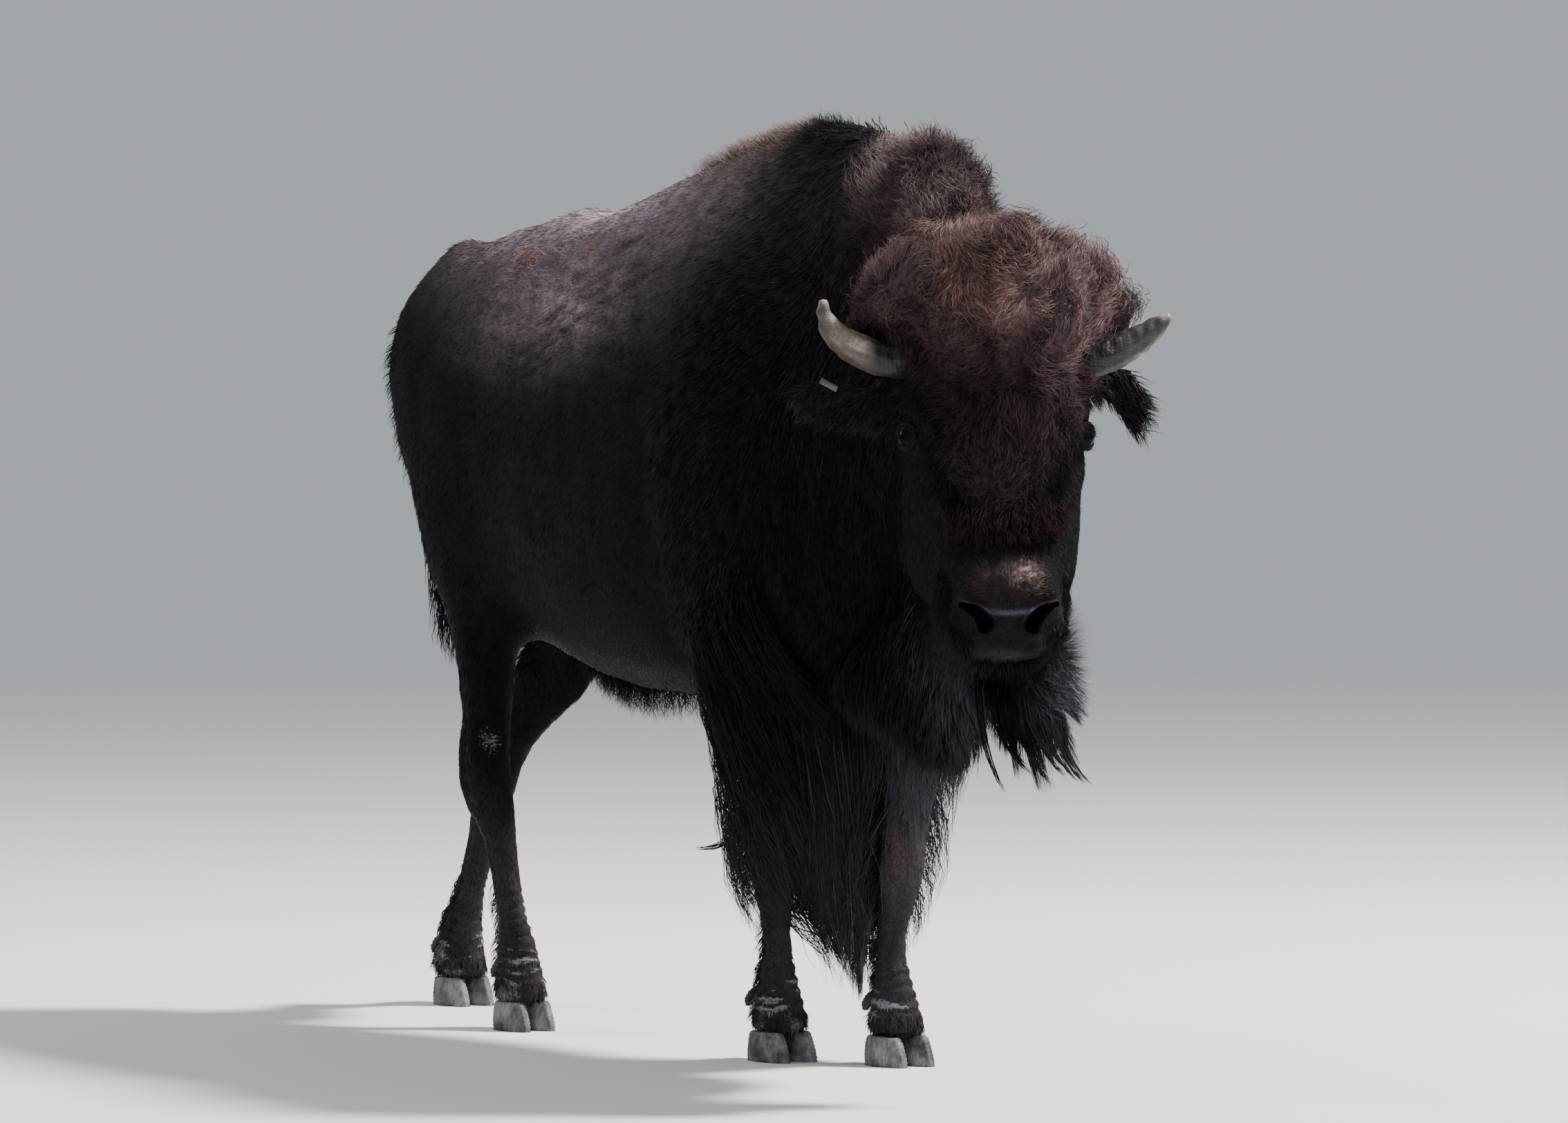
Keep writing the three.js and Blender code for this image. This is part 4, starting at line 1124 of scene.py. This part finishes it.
# the soft beard's shade, 1.6 to 4.2, lightens its wisps far above the beard's colour: painted sunlight
for name, density, rise, curl, width, clump, shade in (
        ("beard", chinward, (0.10, 0.30), (0.004, 0.8), 0.0012, (0.96, 0.05, 0.012), (0.6, 1.2)),
        ("beard_soft", left_side, (0.03, 0.12), (0.012, 1.5), 0.0006, (0.3, 0.05, 0.09), (1.6, 4.2))):
    drape(name, "beard", 2300, density, rise, jaw, lambda root, out: out * 0.7 - UP * 0.6, curl, width,
          rings=4, clump=clump, shade=shade)


def locks(name, ends, way, count, width, slack=0.5):
    """Bundles of long hairs that each come to a point; ends holds their roots and tips."""
    root, tip = (np.repeat(end, count, axis=0) for end in zip(*ends))
    root = root + RNG.normal(0, 0.004, root.shape)
    path = hung(root, tip + RNG.normal(0, 0.0015, tip.shape), way + 0 * root, 6, slack)
    tufts(name, path, width, LOCKS, "long_hair", shade=(0.6, 0.9))


ends = [(level(0.125, -0.045, -0.385), level(0.16, 0.0, -0.589))]
for s in np.linspace(-0.02, 0.09, 11):
    ends.append((level(0.130, s, -0.42), level(0.165, s + 0.055, RNG.uniform(-0.585, -0.525))))
locks("beard_locks", ends, -UP, 16, 0.0014, 0.62)
locks("elbow_lock", [(body(-0.150, -0.500, 0.400), body(-0.185, -0.440, 0.372))], np.array([0, 0.5, -0.8]),
      14, 0.0011)
drape("belly", "belly", 1900, lambda c: 0.35 + step(-0.10, 0.12, in_body(c)[1]), (0.03, 0.06),
      above(0 * LEFT), lambda root, out: out + sway(root, 9, 61, 0.5), (0.011, 1.6), 0.0007,
      clump=(0.3, 0.03), stray=0.008, fall=0.0)
ground, open_side = MASSES["switch"]
tip, no = ground.sample(900, lambda c: open_side)
axis = middle("tail_switch")
root = (tip - axis) * [0.3, 0.3, 1] + axis + np.outer(0.05 + 0.15 * RNG.random(len(tip)), UP)
root[:, 2] = np.minimum(root[:, 2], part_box("tail_switch")[1][2])
path = curled(hung(root, tip, (tip - root) * [1, 1, 0.4], 4), 0.007, 0.9)
tufts("switch", clumped(path, 0.6, 0.03, by_tip=True), 0.0013, LOCKS, "long_hair")


# -- short coat
def inside_hair(c):
    """1 on open skin, falling to 0 where a hair mass covers it."""
    x, y, z = in_body(c)
    a, s, n = in_head(c)
    under_mop = (n > 0.045) & (forward(c) > -0.2) & (a < 0.20) & (np.abs(s) < 0.11)
    under_mane = (z > 1.42) & (y < -0.80) & (np.abs(x) < 0.11)
    return np.where(under_mop | under_mane, 0.05, 1.0)


def on_face(c):
    return step(-0.14, -0.08, forward(c))


def bare(c):
    """1 on the nose pad, between the lids and in the nostrils."""
    a, s, n = in_head(c)
    naked = (a > 0.335) & (np.abs(s) < 0.044) & (n < 0.030) & (n > -0.092)
    for side in EYES:
        r, *_, across, tall = around_eye(c, side)
        naked |= (lid_gap(across, tall) > -0.004) & (r < 0.034)
        inside, over, a = nostril(c, side)
        naked |= (inside > -0.25 - 0.5 * (over > 0)) & (a > 0.30)
    return naked.astype(float)


def open_body(c):
    return inside_hair(c) * (1 - on_face(c))


def trunk_hair(c):
    return open_body(c) * step(0.40, 0.56, in_body(c)[2])


def shoulder(c):
    _, y, z = in_body(c)
    return open_body(c) * step(-0.40, -0.62, y) * step(0.58, 0.70, z)


def body_length(p):
    _, y, z = in_body(p)
    return 0.020 + 0.018 * step(-0.45, -0.75, y) + 0.006 * step(1.3, 1.5, z)


def loin(c):
    q = c - ORIGIN
    return sum(near(q, [x, 0.02, 1.30], [0.12, 0.24, 0.10]) for x in (-0.22, 0.22))


def legs_hair(c):
    """The legs, but for the gaskin caked with earth."""
    q = c - ORIGIN
    return step(0.62, 0.50, q[:, 2]) * (1 - 0.85 * near(q, [-0.165, 0.325, 0.515], 0.07))


def hump_ridge(c):
    x, y, z = in_body(c)
    return bell(x / 0.045) * step(-0.66, -0.56, y) * step(-0.16, -0.30, y) * (z > 1.5)


def rear(c):
    """The back of the thighs."""
    _, y, z = in_body(c)
    return np.where(z > 0.62, step(0.55, 0.68, y) * step(1.30, 1.15, z), 0.0)


def fetlock(c):
    """The back of each pastern, down over the dewclaws."""
    x, y, z = in_body(c)
    behind = np.max([bell((x - cx) / 0.06) * step(0.000, 0.030, y - cy) * step(0.16, 0.1, np.abs(y - cy))
                     for cx, cy, _ in CANNONS], axis=0)
    return behind * step(0.075, 0.10, z) * step(0.29, 0.20, z)


def backward(lift):
    return lambda root, no: laid(np.array([[0, 1.0, 0]]) + sway(root, 20, 71, 0.5), no, lift)


BACK = np.array([0, 1.0, 0])
grow("body_coat", 48500, trunk_hair, 0.001, 0.26, 0.06, body_length, 1, 0.0012, shade=(0.85, 1.12))
grow("shoulder_coat", 12000, shoulder, 0.001, 0.38, 0.05, 0.046, 2, 0.0012, curl=(0.003, 0.7),
     clump=(0.6, 0.02))
# short curls standing out of the coat over the loin
grow("loin_curls", 2600, loin, 0.001, 0.9,
     lambda root, no: laid(lie(root) + sway(root, 16, 76, 0.8), no, 0.3), 0.021, 2, 0.0007,
     curl=(0.0045, 1.0), shade=(0.8, 1.9))
grow("face_coat", 15000, lambda c: on_face(c) * (1 - bare(c)) * inside_hair(c), 0.0005, 0.30, 0.08,
     lambda root: 0.013 - 0.006 * step(0.20, 0.33, in_head(root)[0]), 1, 0.0008, shade=(0.85, 1.15))
grow("leg_coat", 11000, legs_hair, 0.0005, 0.22, 0.04, 0.012, 1, 0.0009, shade=(0.85, 1.15))
# golden fringe along the back of the hump
grow("hump_fringe", 2600, hump_ridge, 0.001, backward(1.3), backward(0.7), 0.036, 2, 0.0007, WOOL,
     curl=(0.004, 0.8), shade=(0.8, 1.3))
grow("thigh_fringe", 2400, rear, 0.001, 0.7, 0.25, 0.034, 2, 0.0009, curl=(0.003, 0.8))
# hair over the edge of the hooves, and feathers behind the fetlocks
grow("hoof_fringe", 2100, lambda c: step(0.100, 0.080, in_body(c)[2]), 0.0005,
     lambda root, no: laid(-UP + 0 * root, no, 0.4),
     lambda root, no: -UP + no * 0.15 + sway(root, 30, 73, 0.2), 0.018, 2, 0.0012)
grow("fetlock_hair", 2400, fetlock, 0.001, lambda root, no: no * 0.4 + BACK * 0.4 - UP * 0.7,
     lambda root, no: -UP + BACK * 0.35 + sway(root, 18, 78, 0.3), 0.032, 2, 0.0010, curl=(0.003, 0.8),
     clump=(0.5, 0.02), shade=(0.7, 1.1))

# ears: long dark hair hanging off their rims
for side, name in SIDES:
    way = LEFT * side * 0.6 - UP * 0.9
    grow(f"ear_{name}_hair", 900, lambda c: ear_share(c, side), 0.001, lambda root, no: no * 0.7 + way,
         lambda root, no: way + sway(root, 12, 81, 0.5), 0.040, 3, 0.0009, LOCKS, "long_hair",
         (0.004, 0.9), (0.5, 0.02))


# chin, the pale-tipped whorl above the nose, lashes
def chin(c):
    a, s, n = in_head(c)
    side = step(0.050, 0.075, np.abs(s)) * step(-0.02, -0.06, n)
    return (a > 0.24) * np.maximum(step(-0.104, -0.114, n), side) * step(-0.19, -0.15, n)


def chin_tint(root):
    inner = step(0.085, 0.055, np.abs(in_head(root)[1]))[:, None]
    return np.array([0.0135, 0.0110, 0.0088]) * inner + np.array([0.0060, 0.0053, 0.0054]) * (1 - inner)


def whorl(c):
    rows = ((0.315, 0, 0.046, 0.034), (0.325, 0.034, 0.040, 0.024), (0.325, -0.034, 0.040, 0.024))
    return sum(near(c, head(*at), reach) for *at, reach in rows) * (pad_rim(c) < 0.3)


def whorl_tint(root):
    patch = near(root, head(0.318, 0.030, 0.046), 0.026) + near(root, head(0.320, -0.036, 0.044), 0.013)
    spots = (0.8 * patch * np.clip(2.2 * wander(root, 110, 86) - 0.15, 0, 1))[:, None]
    return np.array([0.046, 0.032, 0.032]) * (1 - spots) + np.array([0.23, 0.155, 0.135]) * spots


WHORL = head(0.352, 0.0, 0.036)                                 # the hair runs out from here
grow("chin_hair", 5200, chin, 0.0005, lambda root, no: no * 0.7 - UP,
     lambda root, no: -UP + sway(root, 20, 84, 0.5) + no * 0.1, 0.026, 1, 0.0006, shade=(0.6, 1.4),
     seen_at=1.0, tint=chin_tint)
grow("nose_whorl", 5200, whorl, 0.0003, lambda root, no: laid(root - WHORL, no, 0.40),
     lambda root, no: laid(root - WHORL + sway(root, 40, 87, 0.02), no, 0.10), 0.0095, 1, 0.00055,
     shade=(0.45, 1.35), seen_at=1.0, tint=whorl_tint)
for side, name in SIDES:
    def upper_lid(c):
        r, *_, across, tall = around_eye(c, side)
        return (tall > 0.002) * (r < 0.034) * bell((lid_gap(across, tall) + 0.002) / 0.0012)
    grow(f"lashes_{name}", 34 / SHARE, upper_lid, 0.0, lambda root, no: no * 1.0 - UP * 0.5,
         lambda root, no: no - UP * 0.1 + sway(root, 30, 88, 0.2), 0.011, 3, 0.0004, LOCKS, "long_hair",
         seen_at=1.0, tint=(0.008, 0.007, 0.007))


# ---------------- hard parts
def rounded(name, voxel, rounds):
    mesh = remeshed([name], 0.0, voxel)
    soften(mesh, rounds)
    return mesh


# colour of each horn at its base, and the paler colour of its middle, put only on the upper faces and so
# partly a painted highlight
HORN_TINTS = {-1: ((0.046, 0.037, 0.028), (0.25, 0.210, 0.165)),
              1: ((0.022, 0.019, 0.018), (0.045, 0.039, 0.037))}

for side, name in SIDES:
    mesh = rounded(f"horn_{name}", 0.0032, 10)
    co = coordinates(mesh)
    out = (co - EYE_MID) @ LEFT * side
    rings = np.sin(out / 0.0075 * 2 * math.pi + 2 * wander(co, 14, 91)) * step(0.27, 0.13, out)
    co += normals(mesh) * (0.0008 * rings + 0.0010 * wander(co, 40, 92))[:, None]
    place(mesh, co)
    # painted highlight: the paler middle goes only on faces that look up and forward
    upper = step(-0.3, 0.6, normals(mesh) @ (UP + AHEAD * 0.3))[:, None]
    far = (out if side < 0 else out - 0.008)[:, None]
    colour, pale = (np.array(tint) for tint in HORN_TINTS[side])
    colour = colour + (pale - colour) * upper * step(0.190, 0.225, far) * step(0.300, 0.270, far)
    colour = colour * (1 - 0.75 * step(0.232, 0.190, far)) * (1 + 0.25 * wander(co, 22, 93))[:, None]
    point = step(0.020, 0.008, np.linalg.norm(co - co[np.argmax(co[:, 2])], axis=1))[:, None]
    colour = colour * (1 - 0.8 * point) + np.array([0.30, 0.26, 0.22]) * 0.8 * point
    paint(mesh, np.clip(colour, 0.006, 1))
    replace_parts(add(f"horn_{name}_sheath", mesh, HORN), f"horn_{name}")

    # eyeball with a wide dark iris and a level pupil
    bm = bmesh.new()
    bmesh.ops.create_uvsphere(bm, u_segments=64, v_segments=48, radius=EYE_RADIUS)
    bmesh.ops.recalc_face_normals(bm, faces=bm.faces)
    mesh = mesh_of(bm, "eyeball")
    out = EYE_OUT[side]
    co = coordinates(mesh) @ np.array(Vector(out).to_track_quat("Z", "Y").to_matrix()).T
    u = unit(co)
    angle = np.arccos(np.clip(u @ out, -1, 1)) * EYE_RADIUS
    flat = u - (u @ out)[:, None] * out
    across, tall = flat @ unit(np.cross(out, UP)) * EYE_RADIUS, flat @ UP * EYE_RADIUS
    iris = step(0.0165, 0.0150, angle)[:, None]
    pupil = step(1.15, 0.95, np.hypot(across / 0.0080, tall / 0.0042))[:, None]
    colour = np.array([0.010, 0.008, 0.007]) * (1 - iris) + np.array([0.0060, 0.0042, 0.0032]) * iris
    paint(mesh, colour * (1 - pupil) + 0.001 * pupil)
    place(mesh, co * (1 + 0.035 * bell(angle / 0.010))[:, None] + EYES[side])
    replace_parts(add(f"eyeball_{name}", mesh, EYE), f"eye_{name}")

SOLE = 0.0035                          # what lies below it is set flat on the ground
HORNY = (("claw", 0.0034, [0.130, 0.123, 0.128]), ("dewclaw", 0.0030, [0.030, 0.027, 0.026]))
for limb in ("fore_right", "fore_left", "hind_right", "hind_left"):
    for half in ("right", "left"):
        for kind, voxel, tint in HORNY:
            name = f"{kind}_{limb}_{half}"
            mesh = rounded(name, voxel, 6)
            co = coordinates(mesh)
            growth = np.sin(co[:, 2] / 0.0065 * 2 * math.pi + wander(co, 20, 95))
            co += normals(mesh) * (0.0007 * growth)[:, None]
            co[:, 2] = np.where(co[:, 2] < SOLE, 0.0, co[:, 2]) if kind == "claw" else co[:, 2]
            place(mesh, co)
            paint(mesh, np.tile(tint, (len(co), 1)))
            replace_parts(add(f"{name}_horn", mesh, HOOF), name)

bm = bmesh.new()
bm.from_mesh(NODES["ear_tag"].data)
bmesh.ops.remove_doubles(bm, verts=bm.verts, dist=1e-5)
bmesh.ops.dissolve_limit(bm, angle_limit=0.02, verts=bm.verts, edges=bm.edges)
bmesh.ops.bevel(bm, geom=bm.edges[:], offset=0.0009, segments=3, affect="EDGES", profile=0.5)
bmesh.ops.triangulate(bm, faces=bm.faces[:])
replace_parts(add("ear_tag_plate", mesh_of(bm, "ear_tag_plate"), TAG), "ear_tag")


# ---------------- stage, light, camera
SKY, SKY_TINT = 0.50, (0.86, 0.91, 0.97, 1)


def stage():
    """A pale floor that fades into the sky's own colour, and three lamps."""
    look = bpy.data.materials.new("floor")
    look.use_nodes = True
    tree = look.node_tree
    shader = tree.nodes["Principled BSDF"]
    for socket, value in (("Base Color", (0.74, 0.74, 0.73, 1)), ("Roughness", 0.9),
                          ("Specular IOR Level", 0.1)):
        shader.inputs[socket].default_value = value
    far = node(tree, "ShaderNodeVectorMath", operation="LENGTH")
    tree.links.new(node(tree, "ShaderNodeTexCoord").outputs["Object"], far.inputs[0])
    fade = node(tree, "ShaderNodeMapRange", **{"From Min": 3.0, "From Max": 13.0})
    tree.links.new(far.outputs["Value"], fade.inputs["Value"])
    glow = node(tree, "ShaderNodeEmission", Color=SKY_TINT, Strength=SKY)
    both = node(tree, "ShaderNodeMixShader")
    tree.links.new(fade.outputs["Result"], both.inputs[0])
    tree.links.new(shader.outputs[0], both.inputs[1])
    tree.links.new(glow.outputs[0], both.inputs[2])
    tree.links.new(both.outputs[0], tree.nodes["Material Output"].inputs["Surface"])
    bm = bmesh.new()
    bmesh.ops.create_grid(bm, x_segments=1, y_segments=1, size=120)
    floor = linked("floor", mesh_of(bm, "floor"))
    floor.data.materials.append(look)

    world = bpy.data.worlds.new("world")
    world.use_nodes = True
    background = world.node_tree.nodes["Background"]
    background.inputs["Color"].default_value = SKY_TINT
    background.inputs["Strength"].default_value = SKY
    bpy.context.scene.world = world

    def lamp(name, at, size, power, colour=(1, 1, 1), glints=True):
        light = bpy.data.lights.new(name, "AREA")
        light.shape, light.size, light.energy, light.color = "DISK", size, power, colour
        obj = linked(name, light)
        obj.location = body(*at)
        aim = Vector(body(0, -0.4, 0.9)) - obj.location
        obj.rotation_euler = aim.to_track_quat("-Z", "Y").to_euler()
        obj.visible_glossy = glints

    lamp("key", (5.2, -2.4, 8.6), 1.4, 2900, (1, 0.965, 0.94))
    lamp("fill", (-6.5, -8.0, 3.4), 5.0, 300, (0.93, 0.96, 1), glints=False)
    lamp("back", (-4.5, 6.5, 6.0), 3.0, 300)


def camera():
    azimuth, pitch = math.radians(-31), math.radians(2.558)
    data = bpy.data.cameras.new("camera")
    data.sensor_width = 36.0
    data.lens = 305.1
    data.clip_end = 300
    obj = linked("camera", data)
    obj.location = body(-11.924, -20.278, 1.90)
    flat = math.cos(pitch)
    ahead = Vector((-math.sin(azimuth) * flat, math.cos(azimuth) * flat, -math.sin(pitch)))
    obj.rotation_euler = ahead.to_track_quat("-Z", "Y").to_euler()
    bpy.context.scene.camera = obj


stage()
camera()
